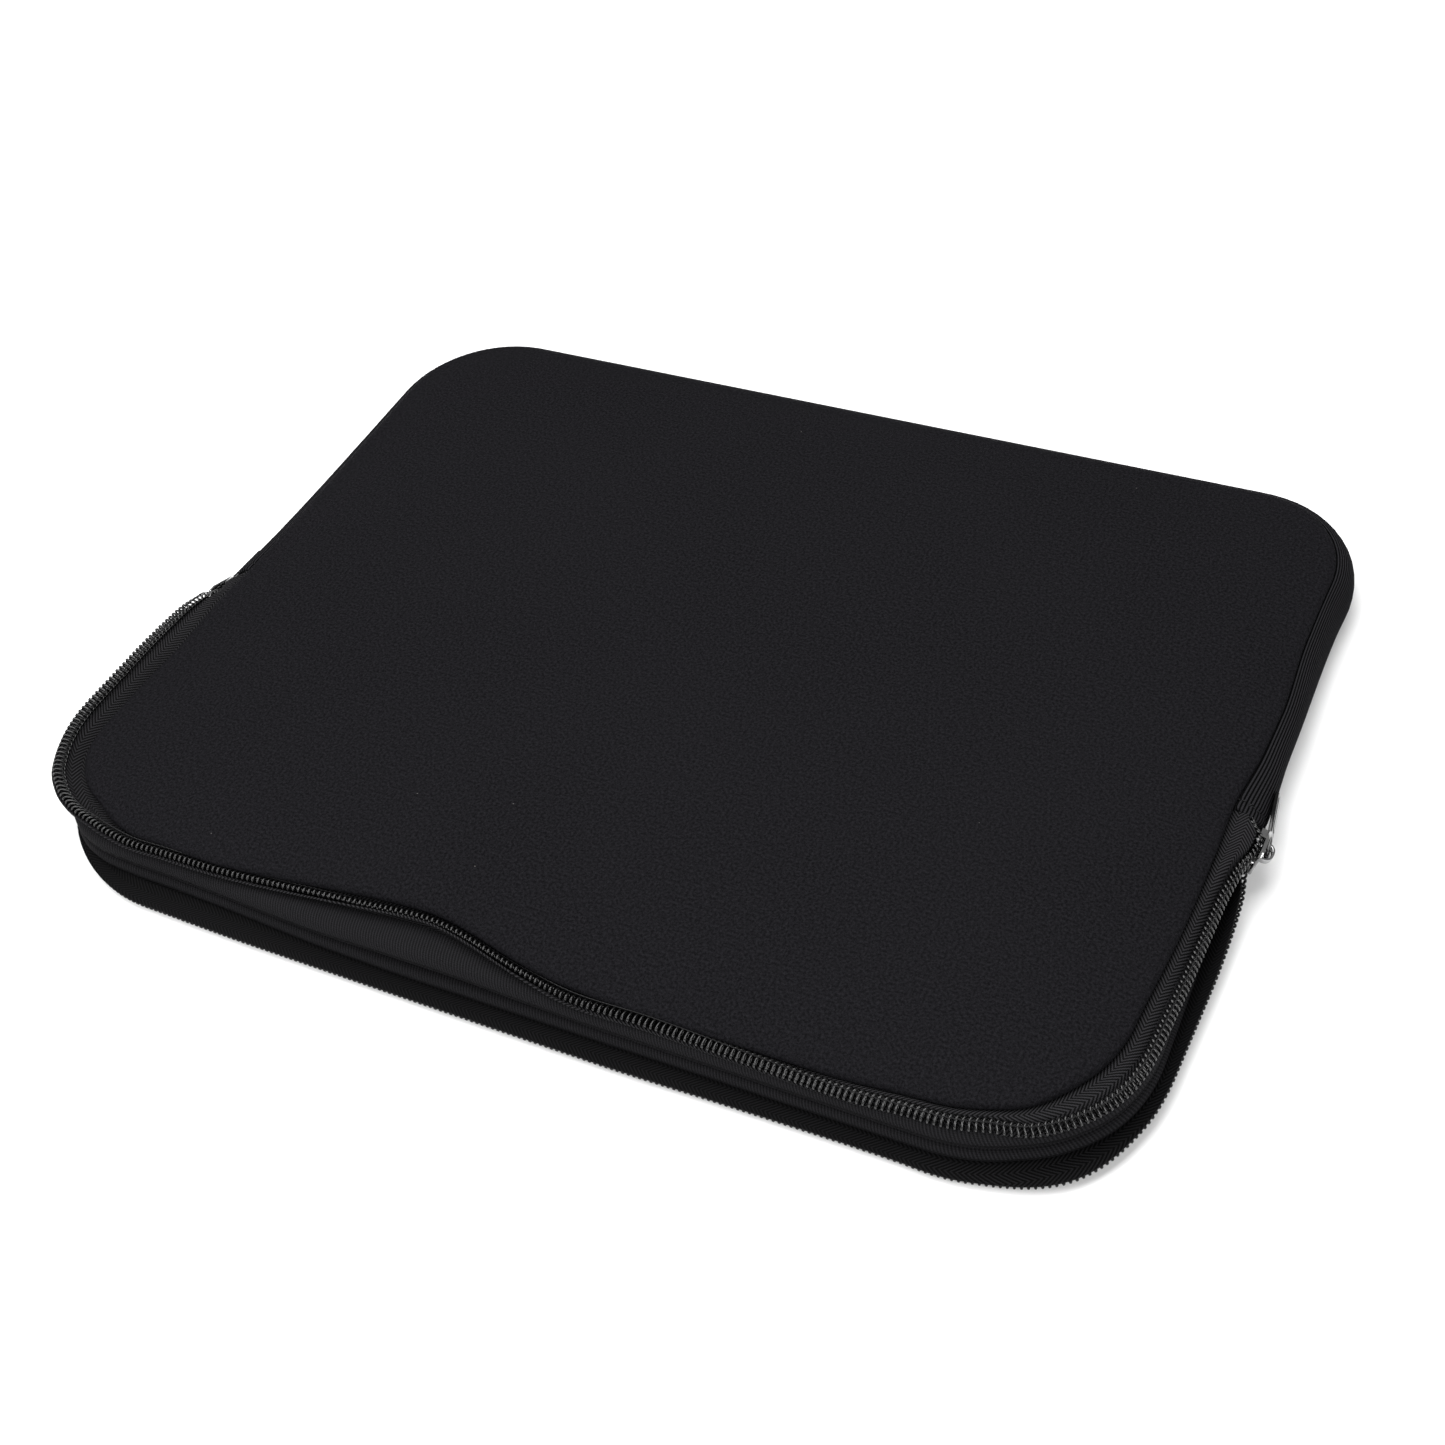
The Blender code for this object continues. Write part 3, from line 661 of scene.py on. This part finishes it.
def add_band(material, thread):
    """The ribbed knit band round the back, whose folded ends lie over the ends of the zipper."""
    near_end = np.concatenate([np.linspace(0, 1.2, 5), np.linspace(1.8, 12, 18)])
    middle = np.linspace(15, WHOLE - ZIP - 15, 150)
    along = np.concatenate([near_end, middle, WHOLE - ZIP - near_end[::-1]])
    s = ZIP + along
    from_end = np.minimum(along, WHOLE - ZIP - along)
    lines = band_lines(s)
    share = np.linspace(0, 1, lines.shape[1])
    normal = left_of(unit(np.gradient(lines, axis=1)))
    normal *= np.sign(normal[:, 30:31, :1])
    ribs = np.abs(np.sin(pi * BAND_RIBS * share)) ** 0.7 - 0.5
    calm = np.clip(from_end / 1.5, 0, 1)
    pinch = np.exp(-(((from_end - HEM) / 0.5) ** 2)) * 0.5
    rounding = 0.5 * np.clip(1 - from_end / 0.9, 0, 1) ** 2
    lift_out = (BAND_RIB_DEPTH * ribs[None, :] * calm[:, None]) - (pinch + rounding)[:, None]
    thickness = BAND + 0.7 * np.clip((HEM + 1 - from_end) / 1.0, 0, 1) - 2 * rounding - pinch
    outer = lines + normal * lift_out[..., None]
    inner = lines - normal * thickness[:, None, None]
    section = np.concatenate([outer, inner[:, ::-3]], 1)
    slant_share = np.concatenate([share, share[::-3]])
    slant = np.interp(slant_share, *zip(*HEM_SLANT))
    fade = np.clip(1 - from_end / HEM_FADE, 0, 1)
    left = np.where(along > (WHOLE - ZIP) / 2, -1, 1)
    shift = slant[None, :] * fade[:, None] * left[:, None]
    across = slant_share * BAND_FLAT
    band = sweep("ribbed_knit_band", s, section, material, across, shift, sharp=70)
    stitches = [hem_stitches(end, thread) for end in ("right", "left")]
    return band, stitches


def hem_stitches(end, thread):
    """The row of stitches that holds the band's folded end."""
    base, sign = (ZIP, 1) if end == "right" else (WHOLE, -1)
    share = np.linspace(0.04, 0.9, 13)
    slant = np.interp(share, *zip(*HEM_SLANT))
    s = base + sign * (HEM + slant * (1 - HEM / HEM_FADE))
    lines = band_lines(s)
    last = lines.shape[1] - 1
    u, z = np.array([lines[i, round(f * last)] for i, f in enumerate(share)]).T
    spots = seam_points(stations(s), u - 0.3, z)
    return beads(f"{end}_hem_stitches", spots, np.gradient(spots, axis=0), 0.5, 0.17, thread)


def beads(name, spots, directions, half_length, radius, material):
    """One mesh of short rounded stitches, each lying along its direction."""
    unit_rows = ((-1, 0.0), (-0.8, 0.75), (0, 1), (0.8, 0.75), (1, 0.0))
    sides = 6
    points, faces = [], []
    for spot, direction in zip(spots, directions):
        direction = Vector(direction).normalized()
        turn = direction.to_track_quat("X", "Z")
        start = len(points)
        for along, size in unit_rows:
            for k in range(sides):
                angle = 2 * pi * k / sides
                r = max(size, 0.25) * radius
                offset = turn @ Vector((along * half_length, r * cos(angle), r * sin(angle)))
                points.append(Vector(spot) + offset)
        faces += [[start + i for i in face] for face in tube_faces(len(unit_rows), sides)]
    return closed_object(name, [tuple(p) for p in points], faces, material)


def add_binding(name, shape, wobble, rise, hang, material):
    """A soft roll of ribbed knit that binds a tape's seam inside the mouth.

    rise is how much of the top edge's lift it follows, and hang how much of its bow its inner side follows."""
    s = np.linspace(1, ZIP - 1, 260)
    place = stations(s)
    angle = np.arange(26) / 26 * 2 * pi
    swell = 1 + wobble * (np.sin(s / 11.0) * 0.5 + np.sin(s / 4.7 + 1) * 0.3)
    end = np.clip(np.minimum(s, ZIP - s) / 6, 0.35, 1) ** 0.5
    u0 = shape[0] + smooth_keys(s, MOUTH_KEYS)[:, 0]
    z0 = shape[1] + rise * lift(place[:, 0], place[:, 1])
    reach = shape[2] * swell * end
    inner = hang * bow(place[:, 0], place[:, 1])
    u = u0[:, None] + reach[:, None] * signed_power(np.cos(angle), 0.85)
    u -= inner[:, None] * np.clip(-np.cos(angle), 0, 1)
    z = z0[:, None] + shape[3] * end[:, None] * signed_power(np.sin(angle), 0.85)
    return sweep(name, s, np.stack([u, z], -1), material, sharp=70)


# ---- sliders


def chain_frame(side):
    """The frame of a parked slider: X runs back along the zipper, Y up the tape and Z outwards."""
    u, z = chain_point(0, 0)
    lean = side * CHAIN_LEAN
    up, out = (sin(lean), 0, cos(lean)), (side * cos(lean), 0, -sin(CHAIN_LEAN))
    place = Matrix(((0, side, 0), up, out)).transposed().to_4x4()
    return Matrix.Translation((side * (HALF_WIDTH + u), SLIDER_Y[side], z)) @ place


def prism(bm, outline, low, high, bevel, hole=None, segments=2):
    """Adds a plate with rounded edges: outline is (a, p) points and low and high are its q."""
    made = bmesh.new()
    loops = [outline] + ([hole] if hole else [])
    edges = []
    for loop in loops:
        verts = [made.verts.new((a, p, low)) for a, p in loop]
        edges += [made.edges.new((verts[i - 1], verts[i])) for i in range(len(verts))]
    bmesh.ops.triangle_fill(made, edges=edges, use_beauty=True, use_dissolve=True)
    top = bmesh.ops.extrude_face_region(made, geom=made.faces[:])
    moved = [v for v in top["geom"] if isinstance(v, bmesh.types.BMVert)]
    bmesh.ops.translate(made, verts=moved, vec=(0, 0, high - low))
    bmesh.ops.recalc_face_normals(made, faces=made.faces)
    sharp = [e for e in made.edges if len(e.link_faces) == 2 and e.calc_face_angle(0) > radians(50)]
    bmesh.ops.bevel(made, geom=sharp, offset=bevel, segments=segments, affect="EDGES", profile=0.6)
    mesh = bpy.data.meshes.new("prism")
    made.to_mesh(mesh)
    made.free()
    bm.from_mesh(mesh)
    bpy.data.meshes.remove(mesh)


def arc(centre, radius, first, last, count):
    return [
        (centre[0] + radius * cos(radians(first + (last - first) * i / count)),
         centre[1] + radius * sin(radians(first + (last - first) * i / count)))
        for i in range(count + 1)
    ]


def metal(name, bm, side, body, node, material):
    """Finishes a metal piece made in the chain's frame, in millimetres."""
    for vert in bm.verts:
        vert.co.x *= side
    if side < 0:
        bmesh.ops.reverse_faces(bm, faces=bm.faces)
    bmesh.ops.transform(bm, matrix=Matrix.Scale(MM, 4) @ chain_frame(side), verts=bm.verts)
    mesh = bpy.data.meshes.new(name)
    bm.to_mesh(mesh)
    bm.free()
    mesh.shade_smooth()
    mesh.set_sharp_from_angle(angle=radians(35))
    obj = new_object(name, mesh, material)
    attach(obj, body)
    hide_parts(node)
    return obj


def plate_outline(shoulder):
    """The slider's plate: a broad shoulder where the tapes come in, and a narrower tail."""
    upper = [(6.2, 2.2), (5.4, 3.2), (1.2, 0.8 * shoulder)]
    upper += [(-2.6, shoulder), (-4.9, shoulder), (-6.2, 0.76 * shoulder)]
    return upper + [(-5.7, 1.6), (-5.2, 0), (-5.7, -1.6)] + [(a, -p) for a, p in reversed(upper)]


def add_slider(side, word, material):
    """Two plates joined by the diamond between the mouths, with flanges that keep the coils in."""
    bm = bmesh.new()
    prism(bm, plate_outline(5.5), 1.95, 3.1, 0.35)
    prism(bm, plate_outline(3.7), -2.9, -1.75, 0.35)
    prism(bm, [(-5.4, 0), (-3.4, -0.9), (-1.4, 0), (-3.4, 0.9)], -1.9, 2.1, 0.15)
    for sign in (-1, 1):
        flange = [(5.2, 2.6), (1.6, 3.3), (1.6, 3.9), (5.2, 3.2)]
        prism(bm, [(a, sign * p) for a, p in flange], 0.2, 2.2, 0.15)
    return metal(f"{word}_slider_shell", bm, side, f"{word}_slider", f"{word}_slider_body", material)


def add_crown(side, word, material):
    """The arched crown on the outer plate that holds the puller."""
    bm = bmesh.new()
    steps = 20
    rows = []
    for i in range(steps + 1):
        angle = pi * i / steps
        a = 2.9 * signed_power(cos(angle), 0.8)
        q = 3.0 + 3.0 * signed_power(sin(angle), 0.7)
        rows.append((a, q, angle))
    wide, deep, sides = 1.0, 0.42, 10
    turns = [2 * pi * (k + 0.5) / sides for k in range(sides)]
    boxed = [(deep * signed_power(cos(t), 0.5), wide * signed_power(sin(t), 0.5)) for t in turns]
    rings = []
    for i, (a, q, angle) in enumerate(rows):
        before, after = rows[max(i - 1, 0)], rows[min(i + 1, steps)]
        way = Vector((after[0] - before[0], 0, after[1] - before[1])).normalized()
        out = Vector((way.z, 0, -way.x))
        rings.append([bm.verts.new(Vector((a, 0, q)) + out * c + Vector((0, s, 0))) for c, s in boxed])
    for one, two in zip(rings, rings[1:]):
        for k in range(sides):
            bm.faces.new((one[k - 1], two[k - 1], two[k], one[k]))
    bm.faces.new(rings[0])
    bm.faces.new(rings[-1][::-1])
    bmesh.ops.recalc_face_normals(bm, faces=bm.faces)
    return metal(f"{word}_slider_crown", bm, side, f"{word}_slider", f"{word}_slider_bail", material)


def add_puller(side, word, material):
    """The pull tab: a waisted flat bar with an eye at the crown and a rounded rim round its face."""
    bm = bmesh.new()
    low, high = PULLER_Q - 0.6, PULLER_Q + 0.6
    outer = arc((0.6, 0), 2.9, 110, 250, 10) + [(4.0, -2.45), (8.0, -2.35)]
    outer += arc((18.6, -0.2), 2.8, -62, 0, 5) + arc((18.6, 0.2), 2.8, 0, 62, 5) + [(8.0, 2.35), (4.0, 2.45)]
    window = [(0.55, -1.55)] + arc((4.3, -0.45), 1.1, -90, 0, 4)
    window += arc((4.3, 0.45), 1.1, 0, 90, 4) + [(0.55, 1.55)]
    prism(bm, outer, low, high, 0.28, hole=window)
    inset = arc((18.2, 0), 1.9, -70, 70, 8) + [(8.4, 1.4), (8.0, 0), (8.4, -1.4)]
    prism(bm, inset, high - 0.05, high + 0.16, 0.07, segments=1)
    hang = Matrix.Rotation(PULLER_SWING, 4, "Y") @ Matrix.Rotation(PULLER_ROLL, 4, "X")
    pivot = Matrix.Translation((0, 0, PULLER_Q))
    bmesh.ops.transform(bm, matrix=pivot @ hang @ pivot.inverted(), verts=bm.verts)
    return metal(f"{word}_pull_tab", bm, side, f"{word}_pull", f"{word}_puller", material)


# ---- materials


class Nodes:
    """Short names for building a material's nodes."""

    def __init__(self, name):
        self.material = bpy.data.materials.new(name)
        self.material.use_nodes = True
        self.tree = self.material.node_tree
        self.shader = self.tree.nodes["Principled BSDF"]

    def add(self, kind, inputs=(), **settings):
        node = self.tree.nodes.new(kind)
        for key, value in settings.items():
            setattr(node, key, value)
        for socket, value in dict(inputs).items():
            self.set(node, socket, value)
        return node

    def set(self, node, socket, value):
        if isinstance(value, bpy.types.NodeSocket):
            self.tree.links.new(value, node.inputs[socket])
        else:
            node.inputs[socket].default_value = value

    def math(self, operation, a, b=0.0, c=0.0):
        return self.add("ShaderNodeMath", {0: a, 1: b, 2: c}, operation=operation).outputs[0]

    def in_mm(self, vector):
        return self.add("ShaderNodeVectorMath", {0: vector, "Scale": 1000.0}, operation="SCALE").outputs[0]

    def cloth(self):
        """(s, t) on the flat cloth in millimetres."""
        return self.in_mm(self.add("ShaderNodeAttribute", attribute_name="cloth").outputs["Vector"])

    def split(self, vector):
        node = self.add("ShaderNodeSeparateXYZ", {0: vector})
        return node.outputs[0], node.outputs[1]

    def place(self):
        """The rest position in millimetres."""
        return self.in_mm(self.add("ShaderNodeTexCoord").outputs["Object"])

    def noise(self, vector, scale, detail=2.0, roughness=0.5):
        inputs = {"Vector": vector, "Scale": scale, "Detail": detail, "Roughness": roughness}
        return self.add("ShaderNodeTexNoise", inputs).outputs[0]

    def ramp(self, value, low, high, to_low=0.0, to_high=1.0):
        inputs = {"Value": value, "From Min": low, "From Max": high, "To Min": to_low, "To Max": to_high}
        return self.add("ShaderNodeMapRange", inputs).outputs[0]

    def mix(self, share, a, b):
        node = self.add("ShaderNodeMix", data_type="RGBA")
        self.set(node, 0, share)
        self.set(node, 6, a)
        self.set(node, 7, b)
        return node.outputs[2]

    def wave(self, value, period):
        """A sine of that period in millimetres, from 0 to 1."""
        turned = self.math("SINE", self.math("MULTIPLY", value, 2 * pi / period))
        return self.math("MULTIPLY_ADD", turned, 0.5, 0.5)

    def bump(self, height, distance, strength=1.0):
        """distance is how tall, in millimetres, a height of 1 stands."""
        node = self.add("ShaderNodeBump", {"Height": height, "Distance": distance * MM, "Strength": strength})
        self.set(self.shader, "Normal", node.outputs[0])

    def finish(self, **values):
        for key, value in values.items():
            self.set(self.shader, key.replace("_", " ").title().replace("Ior", "IOR"), value)
        return self.material


def rgb(r, g, b, tone=1.0):
    return r * tone, g * tone, b * tone, 1.0


def knit_material():
    """Fine black jersey bonded to foam: narrow wales, a soft nap and a few specks of lint."""
    n = Nodes("black jersey knit")
    cloth = n.cloth()
    s, t = n.split(cloth)
    drift = n.math("MULTIPLY_ADD", n.noise(cloth, 0.09), 1.2, s)
    wales = n.wave(drift, 0.62)
    courses = n.wave(n.math("ADD", t, n.math("MULTIPLY", wales, 0.14)), 0.48)
    loops = n.math("MULTIPLY_ADD", courses, 0.45, wales)
    fuzz = n.noise(cloth, 1.2, 5.0, 0.75)
    height = n.math("MULTIPLY_ADD", fuzz, 1.6, loops)
    specks = n.add("ShaderNodeTexVoronoi", {"Vector": cloth, "Scale": 0.085, "Randomness": 1.0})
    rare = n.math("LESS_THAN", n.noise(cloth, 0.031, 0.0), 0.42)
    lint = n.math("MULTIPLY", n.math("LESS_THAN", specks.outputs["Distance"], 0.017), rare)
    broad = n.noise(cloth, 0.012, 2.0)
    shade = n.ramp(broad, 0.3, 0.7)
    yarn = n.mix(shade, rgb(0.0022, 0.0021, 0.0026), rgb(0.0030, 0.0029, 0.0035))
    worn = n.mix(n.ramp(fuzz, 0.4, 0.64), yarn, rgb(0.0098, 0.0095, 0.0111))
    color = n.mix(lint, worn, rgb(0.06, 0.058, 0.056))
    n.bump(height, 0.05, 0.6)
    return n.finish(base_color=color, roughness=n.ramp(fuzz, 0.2, 0.8, 0.78, 0.92), ior=1.4,
                    specular_ior_level=0.04)


def band_material():
    """Ribbed knit: rows of small stitches along each rib, with painted shade in the grooves between the ribs
    and painted light on their crests.
    """
    n = Nodes("black ribbed knit")
    s, t = n.split(n.cloth())
    rows = n.wave(s, 0.7)
    ribs = n.wave(n.math("ADD", t, BAND_FLAT / BAND_RIBS / -4), BAND_FLAT / BAND_RIBS)
    fuzz = n.noise(n.cloth(), 2.0, 3.0)
    height = n.math("MULTIPLY_ADD", rows, 0.4, fuzz)
    # Painted light and shade: the colour runs from dark in the grooves between the ribs to light on their
    # crests
    painted_rib_light = n.math("MULTIPLY", n.ramp(ribs, 0.25, 0.8), n.ramp(height, 0.2, 1.0, 0.5, 1.0))
    color = n.mix(painted_rib_light, rgb(0.0006, 0.0006, 0.0007), rgb(0.0165, 0.0161, 0.0180))
    n.bump(height, 0.06, 0.7)
    return n.finish(base_color=color, roughness=0.85, specular_ior_level=0.04)


def binding_material():
    """Binding knit: fine ribs that run across the roll, a little slanted."""
    n = Nodes("black binding knit")
    s, t = n.split(n.cloth())
    ribs = n.wave(n.math("MULTIPLY_ADD", t, 0.3, s), 0.95)
    stitches = n.wave(t, 0.6)
    fuzz = n.noise(n.cloth(), 3.0, 3.0)
    height = n.math("ADD", n.math("MULTIPLY_ADD", stitches, 0.35, ribs), fuzz)
    color = n.mix(n.ramp(height, 0.3, 1.8), rgb(0.0012, 0.0012, 0.0013), rgb(0.0125, 0.0122, 0.0135))
    n.bump(height, 0.16, 0.9)
    return n.finish(base_color=color, roughness=0.85, specular_ior_level=0.04)


def tape_material(name, tone):
    """Herringbone twill tape; tone scales its colour, and a tone below 1 paints shade over the whole tape."""
    n = Nodes(name)
    s, t = n.split(n.cloth())
    zigzag = n.math("PINGPONG", t, 3.0)
    twill = n.wave(n.math("ADD", s, n.math("MULTIPLY", zigzag, 1.2)), 1.3)
    threads = n.wave(t, 0.45)
    fuzz = n.noise(n.cloth(), 3.0, 3.0)
    height = n.math("ADD", n.math("MULTIPLY_ADD", threads, 0.3, twill), n.math("MULTIPLY", fuzz, 0.5))
    dark, light = rgb(0.0006, 0.0006, 0.0007, tone), rgb(0.0190, 0.0185, 0.0202, tone)
    color = n.mix(n.ramp(height, 0.65, 1.35), dark, light)
    n.bump(height, 0.09, 0.8)
    return n.finish(base_color=color, roughness=0.7, specular_ior_level=0.05)


def thread_material():
    n = Nodes("black sewing thread")
    place = n.place()
    x, y = n.split(place)
    twist = n.wave(n.math("ADD", x, y), 0.3)
    color = n.mix(twist, rgb(0.002, 0.002, 0.0022), rgb(0.006, 0.0059, 0.0065))
    n.bump(twist, 0.03, 0.6)
    return n.finish(base_color=color, roughness=0.6, specular_ior_level=0.2)


def coil_material(name, gloss):
    """Moulded nylon monofilament with faint draw marks."""
    n = Nodes(name)
    marks = n.noise(n.place(), 2.5, 3.0)
    color = n.mix(marks, rgb(0.0008, 0.0008, 0.0009), rgb(0.0025, 0.0025, 0.0027))
    n.bump(marks, 0.01, 0.5)
    return n.finish(base_color=color, roughness=n.ramp(marks, 0.3, 0.7, 0.18, 0.28), specular_ior_level=gloss)


def nickel_material(name, tone):
    """Polished nickel plate with light handling wear; tone scales its colour, and the tabs' low tone is a
    painted dark reflection.
    """
    n = Nodes(name)
    place = n.place()
    wear = n.noise(place, 0.5, 4.0)
    drawn = n.add("ShaderNodeVectorMath", {0: place, 1: (3.0, 0.3, 3.0)}, operation="MULTIPLY").outputs[0]
    scratch = n.noise(drawn, 1.5)
    color = n.mix(n.ramp(wear, 0.35, 0.7), rgb(0.9, 0.9, 0.92, tone), rgb(1, 1, 0.98, tone))
    n.bump(scratch, 0.01, 0.4)
    return n.finish(base_color=color, metallic=1.0, roughness=n.ramp(wear, 0.3, 0.75, 0.08, 0.2))


def foam_material():
    n = Nodes("black neoprene foam")
    cells = n.add("ShaderNodeTexVoronoi", {"Vector": n.place(), "Scale": 3.0}).outputs["Distance"]
    color = n.mix(n.ramp(cells, 0.1, 0.6), rgb(0.003, 0.003, 0.003), rgb(0.009, 0.009, 0.0095))
    n.bump(cells, 0.1, 0.6)
    return n.finish(base_color=color, roughness=0.9, specular_ior_level=0.15)


def lining_material():
    n = Nodes("black lining knit")
    s, t = n.split(n.cloth())
    loops = n.math("MULTIPLY", n.wave(s, 1.1), n.wave(t, 0.9))
    fuzz = n.noise(n.cloth(), 3.0, 3.0)
    height = n.math("ADD", loops, fuzz)
    color = n.mix(n.ramp(height, 0.3, 1.4), rgb(0.0025, 0.0025, 0.0028), rgb(0.008, 0.0078, 0.0086))
    n.bump(height, 0.12, 0.7)
    return n.finish(base_color=color, roughness=0.9, specular_ior_level=0.04)


def floor_material():
    n = Nodes("white table")
    grain = n.noise(n.place(), 0.02, 3.0)
    color = n.mix(grain, rgb(0.79, 0.79, 0.79), rgb(0.81, 0.81, 0.81))
    return n.finish(base_color=color, roughness=0.6, specular_ior_level=0.1)


# ---- studio


def add_floor():
    bm = bmesh.new()
    bmesh.ops.create_grid(bm, x_segments=8, y_segments=8, size=3)
    mesh = bpy.data.meshes.new("table")
    bm.to_mesh(mesh)
    bm.free()
    floor = bpy.data.objects.new("table", mesh)
    floor.location.z = -0.0002
    mesh.materials.append(floor_material())
    bpy.context.scene.collection.objects.link(floor)


def add_softbox(name, place, size, power):
    light = bpy.data.lights.new(name, "AREA")
    light.shape = "RECTANGLE"
    light.size, light.size_y = size
    light.energy = power
    lamp = bpy.data.objects.new(name, light)
    lamp.location = place
    lamp.rotation_euler = (-Vector(place)).to_track_quat("-Z", "Y").to_euler()
    bpy.context.scene.collection.objects.link(lamp)


def add_world():
    world = bpy.data.worlds.new("studio")
    world.use_nodes = True
    background = world.node_tree.nodes["Background"]
    background.inputs["Color"].default_value = rgb(1, 1, 1)
    background.inputs["Strength"].default_value = WORLD_STRENGTH
    bpy.context.scene.world = world


def add_camera():
    azimuth, elevation, roll = (radians(a) for a in CAMERA_ANGLES)
    back = Vector((sin(azimuth) * cos(elevation), -cos(azimuth) * cos(elevation), sin(elevation)))
    level = Vector((cos(azimuth), sin(azimuth), 0))
    up = back.cross(level)
    right = level * cos(roll) + up * sin(roll)
    upright = up * cos(roll) - level * sin(roll)
    data = bpy.data.cameras.new("camera")
    data.sensor_width = 36
    data.lens = CAMERA_LENS
    data.clip_start = 0.01
    camera = bpy.data.objects.new("camera", data)
    where = Vector(CAMERA_AIM) + back * CAMERA_DISTANCE
    camera.matrix_world = Matrix.Translation(where) @ Matrix((right, upright, back)).transposed().to_4x4()
    bpy.context.scene.collection.objects.link(camera)
    bpy.context.scene.camera = camera


# ---- the sleeve


def across_the_bend(piece, *nodes):
    """Stands for its CAD nodes: bakes its transform into its mesh and hides the nodes."""
    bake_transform(piece)
    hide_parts(*nodes)


def on_base(piece, *nodes):
    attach(piece, "base")
    if nodes:
        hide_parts(*nodes)


def build():
    knit, foam, lining = knit_material(), foam_material(), lining_material()
    band_knit, binding_knit = band_material(), binding_material()
    tape_cloth = {
        True: tape_material("black herringbone tape", 1.0),
        # The lower tape is the same cloth: its tone of 0.35 is painted shade, as it lies low and in shadow
        False: tape_material("black tape painted shade", 0.35),
    }
    nylon = {True: coil_material("glossy nylon coil", 0.5), False: coil_material("nylon coil", 0.15)}
    thread = thread_material()
    # The pull tabs' nickel is darkened to a tone of 0.04: a painted dark reflection of the surroundings
    nickel, painted_dark_reflection_nickel = nickel_material("polished nickel", 0.42), nickel_material("nickel painted dark reflection", 0.04)

    top = panel("top_panel_knit", True, ROLL, KNIT, knit, FINE_GRID)
    core = panel("top_panel_foam", True, ((-2.6, -0.75),), 2.2, foam)
    inside = panel("top_panel_lining", True, ((-1.8, -3.2),), 0.6, lining)
    across_the_bend(top, "top_rear_outer_knit", "top_flap_outer_knit")
    across_the_bend(core, "top_rear_foam_core", "top_flap_foam_core")
    across_the_bend(inside, "top_rear_lining", "top_flap_lining")

    base = panel("bottom_panel_knit", False, BOTTOM_ROLL, KNIT, knit)
    base_core = panel("bottom_panel_foam", False, ((-1.6, 1.0),), 2.3, foam)
    base_lining = panel("bottom_panel_lining", False, ((-1.4, 3.5),), 0.6, lining)
    on_base(base, "bottom_outer_knit")
    on_base(base_core, "bottom_foam_core")
    on_base(base_lining, "bottom_lining")

    band, stitches = add_band(band_knit, thread)
    on_base(band, "gusset_band")
    for row in stitches:
        on_base(row)

    roll = add_binding("upper_binding_roll", UPPER_BINDING, 0.02, 0.9, 0.75, binding_knit)
    across_the_bend(roll, "top_rear_seam_binding", "top_flap_seam_binding")
    low_roll = add_binding("lower_binding_roll", LOWER_BINDING, 0.02, 0, 0, binding_knit)
    on_base(low_roll, "bottom_seam_binding")

    for upper in (True, False):
        strip = add_tape(upper, tape_cloth[upper])
        track = coil_track(upper)
        coil = add_coil(upper, track, nylon[upper])
        sewing = add_chain_stitch(upper, track, thread)
        if upper:
            across_the_bend(strip, "upper_zipper_tape", "upper_tape_end_left", "upper_tape_end_right")
            across_the_bend(coil, "upper_zipper_coil", "upper_coil_end_left", "upper_coil_end_right")
            across_the_bend(sewing)
        else:
            on_base(strip, "lower_zipper_tape")
            on_base(coil, "lower_zipper_coil")
            on_base(sewing)

    for side, word in WORDS:
        add_slider(side, word, nickel)
        add_crown(side, word, nickel)
        add_puller(side, word, painted_dark_reflection_nickel)


build()
add_floor()
add_world()
for softbox in SOFTBOXES:
    add_softbox(*softbox)
add_camera()
bpy.context.scene.view_settings.view_transform = "Standard"
